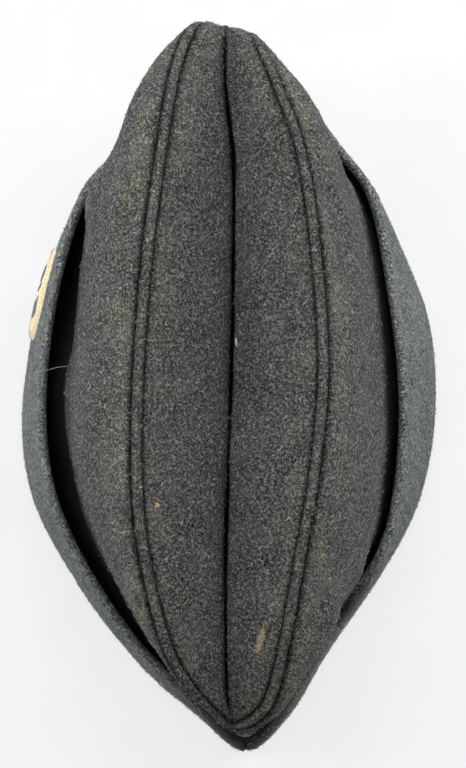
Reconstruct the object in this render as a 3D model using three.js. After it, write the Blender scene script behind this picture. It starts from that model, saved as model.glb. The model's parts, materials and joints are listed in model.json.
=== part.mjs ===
// A wool garrison cap, opened out by its own stiffness and standing on its rim.
//
// Two side panels and a folded insert make the crown, and each side panel laps over the insert in a
// raised, stitched seam. Two flaps are turned up round the outside, and each one turns under the
// crown's lower edge as the rim that the cap stands on. A cloth badge is sewn to the left flap.
// Millimetres, +Z up, +Y to the front of the cap, +X to the wearer's right. The origin is on the
// ground under the middle of the cap.
import * as THREE from "three";

// Driving dimensions, beside the two tables.
const CLOTH = 2; // wall of a crown panel, wool and its backing
const FLAP_CLOTH = 3; // wall of a flap, two layers turned over at the top edge
const GAP = 0.3; // between neighbouring pieces
const LAP = 2.2; // half of the width of the lapped seam
const LAP_RISE = 0.9; // of the lapped seam over the cloth beside it
const RIM_HEIGHT = 3.2; // where the flap turns under the crown
const RIM_FOOT = [1.4, 4]; // the flat that the cap stands on, measured in from the rim
const FLAP_BELLY = 1.5; // how far a flap bows outwards between its edges
const BELT_LIFT = 0.4; // share of the crown's height over the flap that rises straight from the belt
const SHOULDER_SLOPE = THREE.MathUtils.degToRad(23); // of a side panel where it leaves the seam
const REAR_TURN = [0.74, 0.95]; // share of the cap's length over which it turns square to the seam
const FOLD_MOUTH = 0.6; // half of the space between the two halves at the bottom of the fold
const FOLD_LIP = { left: 5, right: 3, rise: 10 }; // where each half of the insert turns down
const BADGE = { along: 0.452, up: 0.5, length: 36, height: 30, thickness: 1.2 };

// One row for each rib, from the front seam down the left side to the rear seam and back up the right
// side. rim is the lower edge of the flap and top its upper edge, both on the outside. gap is the
// space at the top edge between flap and crown. seam is the middle of the lapped seam, and roll is
// how far the side panel stands out below it.
const RIBS = readTable(`
  rib            rimX    rimY    topX    topY  topZ   gap   seamX   seamY   seamZ  roll
  front_seam      0.2   120.3     0.2   116.8  52.0   0.4     0.2   115.0    60.0   1.0
  left_1        -15.0   112.3   -14.0   109.3  53.0   0.4    -7.5   120.5    76.0  10.0
  left_2        -31.0    99.3   -28.5    96.8  54.0   0.8   -11.5   117.6    88.5  11.5
  left_3        -43.0    84.3   -39.0    82.3  56.0   1.2   -17.0   101.3    97.5  22.0
  left_4        -54.8    68.3   -50.3    67.3  59.0   1.8   -21.5    73.3   104.0  27.0
  left_5        -67.5    37.3   -59.0    37.3  63.0   8.2   -26.0    36.3   107.5  18.0
  left_6        -74.3     0.3   -63.5     0.3  64.0   5.8   -28.5     0.3   108.0  19.0
  left_7        -70.5   -31.7   -61.0   -31.7  63.5   6.2   -29.0   -31.7   106.5  18.0
  left_8        -55.5   -59.7   -50.0   -58.7  59.0   4.8   -26.5   -58.7   102.5  16.0
  left_9        -32.5   -89.7   -31.0   -86.7  53.0   3.2   -19.0   -87.7    94.0  11.0
  left_10       -11.5  -108.4   -10.5  -105.4  49.0   0.6    -8.6  -103.6    82.5   5.0
  rear_seam       6.0  -121.4     5.5  -117.7  46.0   0.4     1.2  -111.6    70.5   5.5
  right_10       21.5  -108.7    18.6  -105.2  49.0   0.4    12.0  -105.2    82.5  14.0
  right_9        34.2   -85.7    32.6   -83.2  54.0   0.8    17.5   -85.7    94.0  22.0
  right_8        55.0   -57.7    51.0   -56.7  59.5   1.8    22.5   -57.7   102.5  16.0
  right_7        68.5   -31.7    57.5   -31.7  63.0   2.6    27.0   -31.7   106.5  14.0
  right_6        74.3     0.3    59.0     0.3  64.0   2.5    29.8     0.3   108.0  14.0
  right_5        71.4    35.3    55.3    35.3  62.5   2.2    28.0    35.3   107.5  14.0
  right_4        56.5    68.3    49.5    66.8  58.5   2.0    23.5    70.3   104.0  18.0
  right_3        43.0    85.3    39.2    82.8  56.0   1.0    16.0    94.3    97.5  24.0
  right_2        30.5   100.3    28.5    96.8  54.0   0.6     9.5   112.3    88.0  17.0
  right_1        16.0   112.3    15.0   109.3  53.0   0.4     7.0   117.6    76.0  14.0
`);

// The bottom of the insert's fold, a row for each pair of ribs from the front seam to the rear seam.
const FOLD = readTable(`
   foldX   foldY   foldZ
     0.2   115.0    60.0
    -0.2   120.2    70.0
    -1.0   117.3    77.5
    -0.8    97.8    80.0
     1.7    71.8    81.0
     1.7    35.8    80.0
     1.0     0.3    79.0
     0.0   -31.7    79.0
    -0.8   -58.2    78.0
    -0.6   -86.7    75.5
    -0.2  -102.7    73.0
     1.2  -111.6    70.5
`);

// Where the rings of points lie: at shares of the way along the cap, up the flap and up the crown.
const RINGS = 4 * (FOLD.length - 1);
const SEAM_HOLD = { crown: 0.003, flap: 0.001 }; // share of the cap's length kept clear at each end
const INSERT_ENDS = [0.038, 0.97];
const UP_FLAP = [0, 0.25, 0.5, 0.75, 0.96];
const UP_CROWN = [0.2, 0.42, 0.62, 0.8];
const ACROSS_INSERT = [0.3, 0.65];
const INSERT_REACH = 30; // half the width of the insert at which its fold has its full depth

const FINISH = {
  crown: { color: 0x4a4c4b, roughness: 0.95, metalness: 0 },
  flap: { color: 0x5a5c5c, roughness: 0.95, metalness: 0 },
  badge: { color: 0xe0d5ba, roughness: 0.9, metalness: 0 },
};

// Reads a table whose first line names the columns. Each line after it is a row.
function readTable(text) {
  const [names, ...rows] = text.trim().split("\n").map((line) => line.trim().split(/\s+/));
  return rows.map((cells) => Object.fromEntries(cells.map((cell, i) => [names[i], Number(cell)])));
}

function smoothLoop(xOf, yOf, zOf) {
  const points = RIBS.map((rib) => new THREE.Vector3(xOf(rib), yOf(rib), zOf(rib)));
  return new THREE.CatmullRomCurve3(points, true, "catmullrom");
}
const rimLoop = smoothLoop((rib) => rib.rimX, (rib) => rib.rimY, () => RIM_HEIGHT);
const topLoop = smoothLoop((rib) => rib.topX, (rib) => rib.topY, (rib) => rib.topZ);
const seamLoop = smoothLoop((rib) => rib.seamX, (rib) => rib.seamY, (rib) => rib.seamZ);
const spacing = smoothLoop((rib) => rib.gap, (rib) => rib.roll, () => 0);
const foldLine = new THREE.CatmullRomCurve3(
  FOLD.map((row) => new THREE.Vector3(row.foldX, row.foldY, row.foldZ)), false, "catmullrom",
);

// A place u of the way from the front seam to the rear seam, as a share t of the way round the loops.
const roundCap = (side, u) => (side === "left" ? u / 2 : 1 - u / 2);
const share = THREE.MathUtils.lerp;
const between = (from, to, part) => from.clone().lerp(to, part);
const moved = (point, direction, distance) => point.clone().addScaledVector(direction, distance);
const outwardFrom = (tangent) => new THREE.Vector3(tangent.y, -tangent.x, 0).normalize();

// The flap's outer face, from the rim at w = 0 to the top edge at w = 1, and the way up and out of it.
function flapFace(t, w) {
  const rim = rimLoop.getPoint(t);
  const top = topLoop.getPoint(t);
  const tangent = rimLoop.getTangent(t);
  const middle = moved(between(rim, top, 0.5), outwardFrom(tangent), 2 * FLAP_BELLY);
  const [lower, upper] = [between(rim, middle, w), between(middle, top, w)];
  const rise = upper.clone().sub(lower).normalize();
  return { point: between(lower, upper, w), rise, normal: tangent.cross(rise).normalize() };
}

// The outer face of the crown behind the flap. It leans away from the flap towards the top edge.
function behindFlap(t, w) {
  const { point, rise, normal } = flapFace(t, w);
  return { point: moved(point, normal, -FLAP_CLOTH - GAP - spacing.getPoint(t).x * w), rise, normal };
}

// The frame of the crown at one place: its side line, seam and fold, and the directions at the seam.
function crownRib(side, u) {
  const t = roundCap(side, u);
  const belt = behindFlap(t, 1);
  const seam = seamLoop.getPoint(t);
  const tangent = seamLoop.getTangent(t);
  const fold = foldLine.getPoint(u);
  const reach = fold.distanceTo(seam);
  const inward = fold.clone().sub(seam).divideScalar(reach);
  const outward = inward.clone().negate().setZ(0).normalize();
  const turn = THREE.MathUtils.smoothstep(u, ...REAR_TURN);
  const shoulder = between(outward, outwardFrom(tangent), turn).normalize();
  const rise = shoulder.multiplyScalar(-Math.cos(SHOULDER_SLOPE)).setZ(Math.sin(SHOULDER_SLOPE));
  const lift = BELT_LIFT * belt.point.distanceTo(seam);
  const sideLine = new THREE.CubicBezierCurve3(
    belt.point, moved(belt.point, belt.rise, lift), moved(seam, rise, -spacing.getPoint(t).y), seam,
  );
  const normal = tangent.clone().cross(rise.clone().add(inward)).normalize();
  const lap = Math.min(LAP, 0.4 * reach);
  return { t, sideLine, seam, tangent, fold, reach, rise, inward, outward, normal, lap };
}

// The line that lies a depth under a line of points. Each tangent is the way along the cap there.
function lineUnder(line, tangents, depth) {
  return line.map((point, i) => {
    const onward = line[Math.min(i + 1, line.length - 1)].clone().sub(line[Math.max(i - 1, 0)]);
    return moved(point, tangents[i].clone().cross(onward).normalize(), -depth);
  });
}

// A closed wall between rows of outer points and rows of inner points that face them.
function wall(outerRows, innerRows) {
  const rows = outerRows.length;
  const columns = outerRows[0].length;
  const inner = rows * columns;
  const last = columns - 1;
  const at = (i, j) => i * columns + j;
  const faces = [];
  const quad = (a, b, c, d) => faces.push(a, b, c, a, c, d);
  for (let i = 0; i < rows - 1; i++) {
    for (let j = 0; j < last; j++) {
      quad(at(i, j), at(i + 1, j), at(i + 1, j + 1), at(i, j + 1));
      quad(inner + at(i, j), inner + at(i, j + 1), inner + at(i + 1, j + 1), inner + at(i + 1, j));
    }
    quad(at(i, 0), inner + at(i, 0), inner + at(i + 1, 0), at(i + 1, 0));
    quad(at(i + 1, last), inner + at(i + 1, last), inner + at(i, last), at(i, last));
  }
  for (let j = 0; j < last; j++) {
    quad(at(0, j), at(0, j + 1), inner + at(0, j + 1), inner + at(0, j));
    quad(at(rows - 1, j + 1), at(rows - 1, j), inner + at(rows - 1, j), inner + at(rows - 1, j + 1));
  }
  const geometry = new THREE.BufferGeometry().setFromPoints([...outerRows.flat(), ...innerRows.flat()]);
  geometry.setIndex(faces);
  geometry.computeVertexNormals();
  return geometry;
}

// The places of the rings between two shares of the cap's length. On the right side they run from
// the rear to the front, so that the rings of both sides go round the cap the same way.
function ringPlaces(side, start, end) {
  const places = Array.from({ length: RINGS + 1 }, (_, i) => share(start, end, i / RINGS));
  return side === "left" ? places : places.reverse();
}

// One side panel, from its lower edge behind the flap up to the raised seam.
function crownSide(side) {
  const outerRows = [];
  const innerRows = [];
  for (const u of ringPlaces(side, SEAM_HOLD.crown, 1 - SEAM_HOLD.crown)) {
    const rib = crownRib(side, u);
    const behind = [...UP_FLAP.slice(0, -1), 1].map((w) => behindFlap(rib.t, w));
    behind[0].point.setZ(RIM_HEIGHT + GAP);
    const face = [...behind.map((place) => place.point), ...UP_CROWN.map((v) => rib.sideLine.getPoint(v))];
    const rimTangent = rimLoop.getTangent(rib.t);
    const tangents = face.map((_, i) => between(rimTangent, rib.tangent, i / face.length));
    const faceUnder = lineUnder([...face, rib.seam], [...tangents, rib.tangent], CLOTH).slice(0, -1);
    faceUnder[0].setZ(RIM_HEIGHT + GAP);
    const outerEdge = moved(rib.seam, rib.rise, -LAP);
    const groove = moved(rib.seam, rib.rise, -LAP - LAP_RISE / 2);
    const innerEdge = moved(rib.seam, rib.inward, rib.lap);
    const raised = [moved(outerEdge, rib.normal, LAP_RISE), moved(rib.seam, rib.normal, LAP_RISE)];
    const onSeam = [groove, outerEdge, rib.seam, innerEdge];
    outerRows.push([...face, groove, ...raised, moved(innerEdge, rib.normal, LAP_RISE)]);
    innerRows.push([...faceUnder, ...onSeam.map((point) => moved(point, rib.normal, -CLOTH))]);
  }
  return wall(outerRows, innerRows);
}

// The insert's half on one side, from the seam to the bottom of the fold, with its tangents.
function insertHalf(side, u) {
  const rib = crownRib(side, u);
  const edge = moved(rib.seam, rib.inward, rib.lap + 1.3 * GAP);
  const deep = Math.min(1, (rib.reach - rib.lap) / INSERT_REACH);
  const bottom = moved(rib.fold, rib.outward, FOLD_MOUTH * deep);
  const lip = moved(rib.fold, rib.outward, FOLD_LIP[side] * deep).setZ(rib.fold.z + FOLD_LIP.rise * deep);
  const points = [edge, ...ACROSS_INSERT.map((part) => between(edge, lip, part)), lip, bottom];
  const foldTangent = foldLine.getTangent(u);
  const onward = rib.tangent.clone().multiplyScalar(side === "left" ? 1 : -1);
  const tangents = points.map((_, i) => between(onward, foldTangent, i / (points.length - 1)));
  return { points, tangents, edgeNormal: rib.normal };
}

// The folded insert between the two side panels.
function crownInsert() {
  const outerRows = [];
  const innerRows = [];
  for (const u of ringPlaces("left", ...INSERT_ENDS)) {
    const left = insertHalf("left", u);
    const right = insertHalf("right", u);
    const line = [...left.points, foldLine.getPoint(u), ...right.points.reverse()];
    const tangents = [...left.tangents, foldLine.getTangent(u), ...right.tangents.reverse()];
    const under = lineUnder(line, tangents, CLOTH);
    under[0] = moved(line[0], left.edgeNormal, -CLOTH);
    under[under.length - 1] = moved(line.at(-1), right.edgeNormal, -CLOTH);
    outerRows.push(line);
    innerRows.push(under);
  }
  return wall(outerRows, innerRows);
}

// One flap, from the foot under the crown's edge round the rim and up to its rounded top edge.
function flap(side) {
  const [footOut, footIn] = RIM_FOOT;
  const underCrown = FLAP_CLOTH + GAP + CLOTH;
  const outerRows = [];
  const innerRows = [];
  for (const u of ringPlaces(side, SEAM_HOLD.flap, 1 - SEAM_HOLD.flap)) {
    const t = roundCap(side, u);
    const rim = rimLoop.getPoint(t);
    const outward = outwardFrom(rimLoop.getTangent(t));
    const inside = (depth, height) => moved(rim, outward, -depth).setZ(height);
    const face = UP_FLAP.map((w) => flapFace(t, w));
    const top = flapFace(t, 1);
    outerRows.push([
      inside(footIn, 0), inside(footOut, 0), inside(footOut / 5, RIM_HEIGHT / 2.5),
      ...face.map((place) => place.point), moved(top.point, top.normal, -FLAP_CLOTH / 3),
    ]);
    innerRows.push([
      inside(underCrown, RIM_HEIGHT / 2.5), inside(underCrown, RIM_HEIGHT), inside(footIn, RIM_HEIGHT),
      ...face.map((place) => moved(place.point, place.normal, -FLAP_CLOTH)),
      moved(top.point, top.normal, -FLAP_CLOTH * 2 / 3),
    ]);
    innerRows.at(-1)[3].setZ(RIM_HEIGHT);
  }
  return wall(outerRows, innerRows);
}

// The oval badge, bent to the left flap's face.
function badge() {
  const t = BADGE.along / 2;
  const step = 0.01;
  const next = flapFace(t + step, BADGE.up).point;
  const alongSize = next.distanceTo(flapFace(t - step, BADGE.up).point) / (2 * step);
  const upSize = flapFace(t, 1).point.distanceTo(flapFace(t, 0).point);
  const slices = [-80, -60, -40, -20, 0, 20, 40, 60, 80].map(THREE.MathUtils.degToRad);
  const faceRow = (angle, height) => [-1, -0.5, 0, 0.5, 1].map((part) => {
    const a = (Math.sin(angle) * BADGE.length) / 2;
    const b = (Math.cos(angle) * part * BADGE.height) / 2;
    const place = flapFace(t + a / alongSize, BADGE.up + b / upSize);
    return moved(place.point, place.normal, height);
  });
  const rowsAt = (height) => slices.map((angle) => faceRow(angle, height));
  return wall(rowsAt(GAP + BADGE.thickness), rowsAt(GAP));
}

function piece(name, geometry, finish) {
  const mesh = new THREE.Mesh(geometry, new THREE.MeshStandardMaterial(finish));
  mesh.name = name;
  return mesh;
}

const cap = new THREE.Group();
cap.add(
  piece("crown_side_left", crownSide("left"), FINISH.crown),
  piece("crown_side_right", crownSide("right"), FINISH.crown),
  piece("crown_insert", crownInsert(), FINISH.crown),
  piece("flap_left", flap("left"), FINISH.flap),
  piece("flap_right", flap("right"), FINISH.flap),
  piece("badge_patch", badge(), FINISH.badge),
);
export default cap;
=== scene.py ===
"""A wool garrison cap, opened out and standing on its rim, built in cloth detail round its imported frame.

The crown's two side panels lap over a folded insert in stitched seams. Two flaps are turned up round
the outside, and a felt badge is sewn to the left one. +Y is the front of the cap and +X is the
wearer's right. Tables and the values beside them are in millimetres, and meshes are in metres.
"""

import json
import math
from functools import partial
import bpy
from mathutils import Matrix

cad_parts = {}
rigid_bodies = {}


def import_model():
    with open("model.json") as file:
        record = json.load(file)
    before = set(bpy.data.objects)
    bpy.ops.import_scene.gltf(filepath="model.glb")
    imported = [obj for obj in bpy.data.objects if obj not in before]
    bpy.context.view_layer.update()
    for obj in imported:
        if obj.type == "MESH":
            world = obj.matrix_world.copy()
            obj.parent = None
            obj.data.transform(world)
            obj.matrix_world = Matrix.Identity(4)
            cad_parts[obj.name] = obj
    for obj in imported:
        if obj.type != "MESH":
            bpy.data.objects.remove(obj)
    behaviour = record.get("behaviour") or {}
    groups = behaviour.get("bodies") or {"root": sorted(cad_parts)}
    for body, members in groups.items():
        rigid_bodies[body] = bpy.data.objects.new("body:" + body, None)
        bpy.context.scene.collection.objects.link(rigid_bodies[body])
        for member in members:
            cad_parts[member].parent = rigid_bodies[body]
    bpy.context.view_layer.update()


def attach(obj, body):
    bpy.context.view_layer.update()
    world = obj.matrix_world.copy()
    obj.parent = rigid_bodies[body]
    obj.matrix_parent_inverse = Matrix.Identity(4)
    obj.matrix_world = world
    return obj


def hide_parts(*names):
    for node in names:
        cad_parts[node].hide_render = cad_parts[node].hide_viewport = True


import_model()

from types import SimpleNamespace

import bpy
import numpy as np
from mathutils import Vector

bl_info = {
    "name": "Garrison cap",
    "version": (1, 0, 0),
    "blender": (4, 5, 0),
    "location": "View3D > Sidebar > Cap",
    "description": "Builds a wool garrison cap in cloth detail round its packed frame",
    "category": "Add Mesh",
}

MM = 0.001
BODY = "root"
SIDES = ("left", "right")

# The cap's driving sizes, as its solids have them.
GAP = 0.3  # between neighbouring solids
RIM_HEIGHT = 3.2  # where the flap turns under the crown
RIM_FOOT = (1.4, 4.0)  # the flat that the cap stands on, measured in from the rim
FLAP_BELLY = 1.5  # how far a flap bows outwards between its edges
BELT_LIFT = 0.4  # share of the crown's height over the flap that rises straight from the belt
SHOULDER_SLOPE = math.radians(23)  # of a side panel where it leaves the seam
INSERT_REACH = 30.0  # half the width of the insert at which its fold has its full depth
REAR_TURN = (0.74, 0.95)  # share of the cap's length over which a side panel turns square to its seam
UNDER_CROWN = (0.84, 0.94)  # share of the cap's length over which the crown comes to overhang the flap
UNDER_RIGHT = (0.70, 0.80)  # the same, for the right flap's top edge
REAR_HIGHLIGHT = (0.7, 0.8)  # share of the cap's length from which the crown's edge over the flap is painted pale as a highlight
FLOOR_SHADE = (0.8, 2.6)  # heights between which the flap's foot comes out of the shade at the floor
SEAM_HOLD = 0.0002  # share of the cap's length left open where pieces meet at the front and rear
INSERT_ENDS = (0.03, 0.978)
FOLD_WALLS = {"left": 0.85, "right": 0.35}  # from the middle of the insert's fold to each of its walls
FOLD_ROUNDING = {"left": 8.0, "right": 1.7}  # where each half of the insert turns down into the fold
SEAM_FLAT = (0.13, 0.25)  # shares of the cap's length between which the seam's relief grows at the front
INSERT_TUCK = 0.35  # how far the insert's edge reaches under the lapped seam
STITCH_RISE = 0.12  # of a seam's stitches over the bottom of the groove that they lie in
STITCHED = (0.02, 0.975)  # shares of the cap's length between which the seams' stitches are seen
BADGE_ALONG = 0.455  # share of the way from the front seam to the rear seam
BADGE_UP = 0.5  # share of the flap's height
BADGE_HANG = 0.45  # how far the badge stands off the flap 10 mm below its middle
BADGE_FOOT = -0.3  # of the badge over the flap's face
BAR_RISE = 0.65  # of the badge's bars over its felt
BADGE_EDGE = 0.93  # share of the way from the badge's middle to its edge at which its stitches lie
PATCH_SUNK = 0.4  # of the back of the badge and its bars below their foot
NOSE_RELIEF = 0.3  # share of its relief that the lapped seam has over the front of the crown
NOSE_SHADE = 0.4  # share of their dark that the grooves have over the nose
NOSE_SHADED = (0.12, 0.28)  # shares of the cap's length between which the grooves turn fully dark
NOSE_MIDDLE = 0.13  # share of the cap's length at which the insert stands out most
NOSE_LENGTH = 0.075  # reach of that stretch, in the same shares
INSERT_THIN = 0.7  # wall of the insert, as a share of a crown panel's
FOLD_DROP = 0.25  # of the very bottom of the insert's fold below the feet of its walls
FOLD_STEEP = 5  # columns of the insert, on each side of its fold's bottom, that are fully in painted shade
FOLD_TURNING = (0.06, 0.16, 0.3, 0.48, 0.7)  # painted shade of the columns beside them, towards the fold
SEAM_CALM = 6.0  # distance from a lapped seam within which it holds a side panel smooth
INSERT_CALM = 4.0  # the same for the insert
PUCKER_WIDTH = 2.2  # reach of the puckers on each side of a stitched groove
INSERT_PUCKER = 3.0  # the same beside the insert's edge
GROOVE_SHADE = 1.05  # reach of the painted shade on each side of a stitched groove
GROOVE_DARK = 0.92  # mean strength of the painted shade in a stitched groove
END_WIDTH = 0.7  # of the dip where two pieces are seamed at the front and the rear
END_SHADE = 0.6  # reach of the painted shade in that dip
FOOT_HELD = 6  # a flap is held smooth below one part in so many of its height
OVERHUNG = (0.15, 0.92)  # shade of a flap's foot and top under the rear of the crown
RIGHT_TOP_SHADE = 0.9  # the same at the right flap's top edge
FLAP_BACK_SHADE = (0.9, 0.1)  # over a flap's rounded top edge, from its back

# The dip where two pieces are seamed at the front and the rear. length turns shares of the cap's length
# into millimetres there.
CROWN_END = {"length": 187.0, "depth": 0.5}
FLAP_END = {"length": 374.0, "depth": 0.8}

# The painted shade between flap and crown, by height over the flap's top edge: full below dark, and gone
# at a height that grows with the gap between them.
POCKET = {"dark": -4.0, "per_gap": 3.4, "start": -3.0, "least": -2.0}

# Unevenness of the cloth, in rows of height, wavelength and the wave's own number.
CROWN_SEEDS = {"left": 11, "right": 23}
FLAP_SEEDS = {"left": 41, "right": 57}
CROWN_WAVES = ((0.55, 46, 0), (0.22, 17, 1))
CROWN_PUCKERS = ((0.14, 6.5, 2), (0.13, 2.6, 4))
CROWN_GRAIN = ((0.05, 3.5, 3),)
SHADE_WAVES = ((0.25, 3.0, 5),)
INSERT_WAVES = ((0.30, 38, 5), (0.14, 14, 6))
INSERT_PUCKERS = ((0.10, 6.5, 7),)
INSERT_GRAIN = ((0.04, 3.5, 8),)
FLAP_WAVES = ((0.45, 44, 0),)
FLAP_GRAIN = ((0.10, 12, 1), (0.04, 4, 2))

# Soft bands beside an edge, in rows of strength, distance from it and width: where the cloth is rubbed,
# where a highlight is painted along the crown's edge over the rear of the flap, and how far the flap's
# thick top edge stands out.
CROWN_RUBBED = ((0.8, 8.0, 5.0), (0.3, 0.0, 2.5))
REAR_HIGHLIGHT_BAND = ((1.0, 3.0, 3.0),)
INSERT_RUBBED = ((0.45, 4.0, 5.0),)
FLAP_TOP_RUBBED = ((0.8, 0.0, 3.0),)
FLAP_FOOT_RUBBED = ((0.35, 0.0, 5.0),)
FLAP_TOP_RAISED = ((0.35, 0.0, 3.2),)

# One row for each rib, from the front seam down the left side to the rear seam and back up the right
# side. rim is the flap's lower edge and top its upper edge, both on the outside. gap is the space at
# the top edge between flap and crown. seam is the middle of the lapped seam, and roll is how far the
# side panel stands out below it.
RIBS = """
  rib            rimX    rimY    topX    topY  topZ   gap   seamX   seamY   seamZ  roll
  front_seam      0.2   120.3     0.2   116.8  52.0   0.4     0.2   115.0    60.0   1.0
  left_1        -15.0   112.3   -14.0   109.3  53.0   0.4    -7.5   120.5    76.0  10.0
  left_2        -31.0    99.3   -28.5    96.8  54.0   0.8   -11.5   117.6    88.5  11.5
  left_3        -43.0    84.3   -39.0    82.3  56.0   1.2   -17.0   101.3    97.5  22.0
  left_4        -54.8    68.3   -50.3    67.3  59.0   1.8   -21.5    73.3   104.0  27.0
  left_5        -67.5    37.3   -59.0    37.3  63.0   8.2   -26.0    36.3   107.5  18.0
  left_6        -74.3     0.3   -63.5     0.3  64.0   5.8   -28.5     0.3   108.0  19.0
  left_7        -70.5   -31.7   -61.0   -31.7  63.5   6.2   -29.0   -31.7   106.5  18.0
  left_8        -55.5   -59.7   -50.0   -58.7  59.0   4.8   -26.5   -58.7   102.5  16.0
  left_9        -32.5   -89.7   -31.0   -86.7  53.0   3.2   -19.0   -87.7    94.0  11.0
  left_10       -11.5  -108.4   -10.5  -105.4  49.0   0.6    -8.6  -103.6    82.5   5.0
  rear_seam       6.0  -121.4     5.5  -117.7  46.0   0.4     1.2  -111.6    70.5   5.5
  right_10       21.5  -108.7    18.6  -105.2  49.0   0.4    12.0  -105.2    82.5  14.0
  right_9        34.2   -85.7    32.6   -83.2  54.0   0.8    17.5   -85.7    94.0  22.0
  right_8        55.0   -57.7    51.0   -56.7  59.5   1.8    22.5   -57.7   102.5  16.0
  right_7        68.5   -31.7    57.5   -31.7  63.0   2.6    27.0   -31.7   106.5  14.0
  right_6        74.3     0.3    59.0     0.3  64.0   2.5    29.8     0.3   108.0  14.0
  right_5        71.4    35.3    55.3    35.3  62.5   2.2    28.0    35.3   107.5  14.0
  right_4        56.5    68.3    49.5    66.8  58.5   2.0    23.5    70.3   104.0  18.0
  right_3        43.0    85.3    39.2    82.8  56.0   1.0    16.0    94.3    97.5  24.0
  right_2        30.5   100.3    28.5    96.8  54.0   0.6     9.5   112.3    88.0  17.0
  right_1        16.0   112.3    15.0   109.3  53.0   0.4     7.0   117.6    76.0  14.0
"""

# The bottom of the insert's fold, a row for each pair of ribs from the front seam to the rear seam.
FOLD = """
   foldX   foldY   foldZ
     0.2   115.0    60.0
    -0.2   120.2    70.0
    -1.0   117.3    77.5
    -0.8    97.8    80.0
     1.7    71.8    81.0
     1.7    35.8    80.0
     1.0     0.3    79.0
     0.0   -31.7    79.0
    -0.8   -58.2    78.0
    -0.6   -86.7    75.5
    -0.2  -102.7    73.0
     1.2  -111.6    70.5
"""

# The lapped seam in section: at goes from the stitched groove at -1 to the folded edge at 1, and height
# is the cloth's height over the seam's middle line.
LAP_SECTION = """
     at  height
  -0.94   -0.75
  -0.86   -0.10
  -0.76    0.45
  -0.60    0.85
  -0.35    1.06
   0.00    1.12
   0.35    1.06
   0.62    0.85
   0.80    0.50
   0.91    0.05
   0.97   -0.40
   1.00   -0.90
"""

# The insert beside the lapped seam, by distance from its edge: it dives under the folded edge.
INSERT_EDGE = """
  from_edge  height
       0.00   -1.40
       0.35   -1.15
       0.60   -0.92
       0.85   -0.62
       1.15   -0.30
       1.50   -0.08
       2.00    0.06
       2.80    0.12
       4.00    0.10
       5.40    0.06
"""

# The side panel below the stitched groove, by distance from the groove.
GROOVE_SECTION = """
  from_groove  height
         0.00   -1.00
         0.22   -0.86
         0.45   -0.58
         0.75   -0.22
         1.10    0.04
         1.60    0.20
         2.40    0.24
         3.40    0.18
         4.80    0.08
         6.50    0.00
"""


# Reading tables and lines


def read_table(text):
    """The columns of a table by name. Its first line names them."""
    names, *rows = [line.split() for line in text.strip().splitlines()]
    return {
        name: np.array([float(row[i]) for row in rows])
        for i, name in enumerate(names) if name != "rib"
    }


ribs = read_table(RIBS)
fold = read_table(FOLD)
lap_section = read_table(LAP_SECTION)
insert_edge = read_table(INSERT_EDGE)
groove_section = read_table(GROOVE_SECTION)


def points_of(table, *columns):
    """Points from three columns of a table, with the rim's height where a column is None."""
    return np.stack([table[name] if name else np.full_like(ribs["rimX"], RIM_HEIGHT) for name in columns], 1)


RIM = points_of(ribs, "rimX", "rimY", None)
TOP = points_of(ribs, "topX", "topY", "topZ")
SEAM = points_of(ribs, "seamX", "seamY", "seamZ")
SPACING = points_of(ribs, "gap", "roll")
FOLD_LINE = points_of(fold, "foldX", "foldY", "foldZ")


def unit(vectors):
    """Vectors of the same directions and of length 1."""
    return vectors / np.maximum(np.linalg.norm(vectors, axis=-1, keepdims=True), 1e-12)


def mix(start, end, part):
    """The value that is part of the way from start to end."""
    return start + (end - start) * part


def ease(value, low, high):
    """0 up to low, 1 from high, and a soft step between them."""
    part = np.clip((value - low) / (high - low), 0, 1)
    return part * part * (3 - 2 * part)


def smooth_line(points, t, closed=True):
    """The places t of the way along a smooth line through the points, and its directions there."""
    count = len(points)
    spans = count if closed else count - 1
    place = (np.asarray(t) % 1 if closed else np.clip(t, 0, 1)) * spans
    index = np.minimum(place.astype(int), spans - 1)
    part = (place - index)[:, None]
    if closed:
        before, start, end, after = (points[(index + k) % count] for k in (-1, 0, 1, 2))
    else:
        padded = np.vstack([2 * points[0] - points[1], points, 2 * points[-1] - points[-2]])
        before, start, end, after = (padded[index + k] for k in (0, 1, 2, 3))
    leave = (end - before) / 2
    arrive = (after - start) / 2
    cubic = 2 * start - 2 * end + leave + arrive
    square = 3 * end - 3 * start - 2 * leave - arrive
    place = ((cubic * part + square) * part + leave) * part + start
    return place, unit((3 * cubic * part + 2 * square) * part + leave)


def round_cap(side, u):
    """A place u of the way from front seam to rear seam, as a share of the way round the cap."""
    return u / 2 if side == "left" else 1 - u / 2


def outward_from(along):
    """The level way out of the cap, square to directions round it."""
    return unit(np.stack([along[:, 1], -along[:, 0], np.zeros(len(along))], 1))


# The cap's shape


def flap_face(t, w):
    """The flap's outer face at t round the cap and w up the flap: its points, way up and way out.

    w is one row of shares for every t, or a row of its own for each t.
    """
    rim, along = smooth_line(RIM, t)
    top, _ = smooth_line(TOP, t)
    middle = (rim + top) / 2 + outward_from(along) * 2 * FLAP_BELLY
    w = np.atleast_2d(w)[..., None]
    lower = mix(rim[:, None], middle[:, None], w)
    upper = mix(middle[:, None], top[:, None], w)
    rise = unit(upper - lower)
    return mix(lower, upper, w), rise, unit(np.cross(along[:, None], rise))


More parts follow.
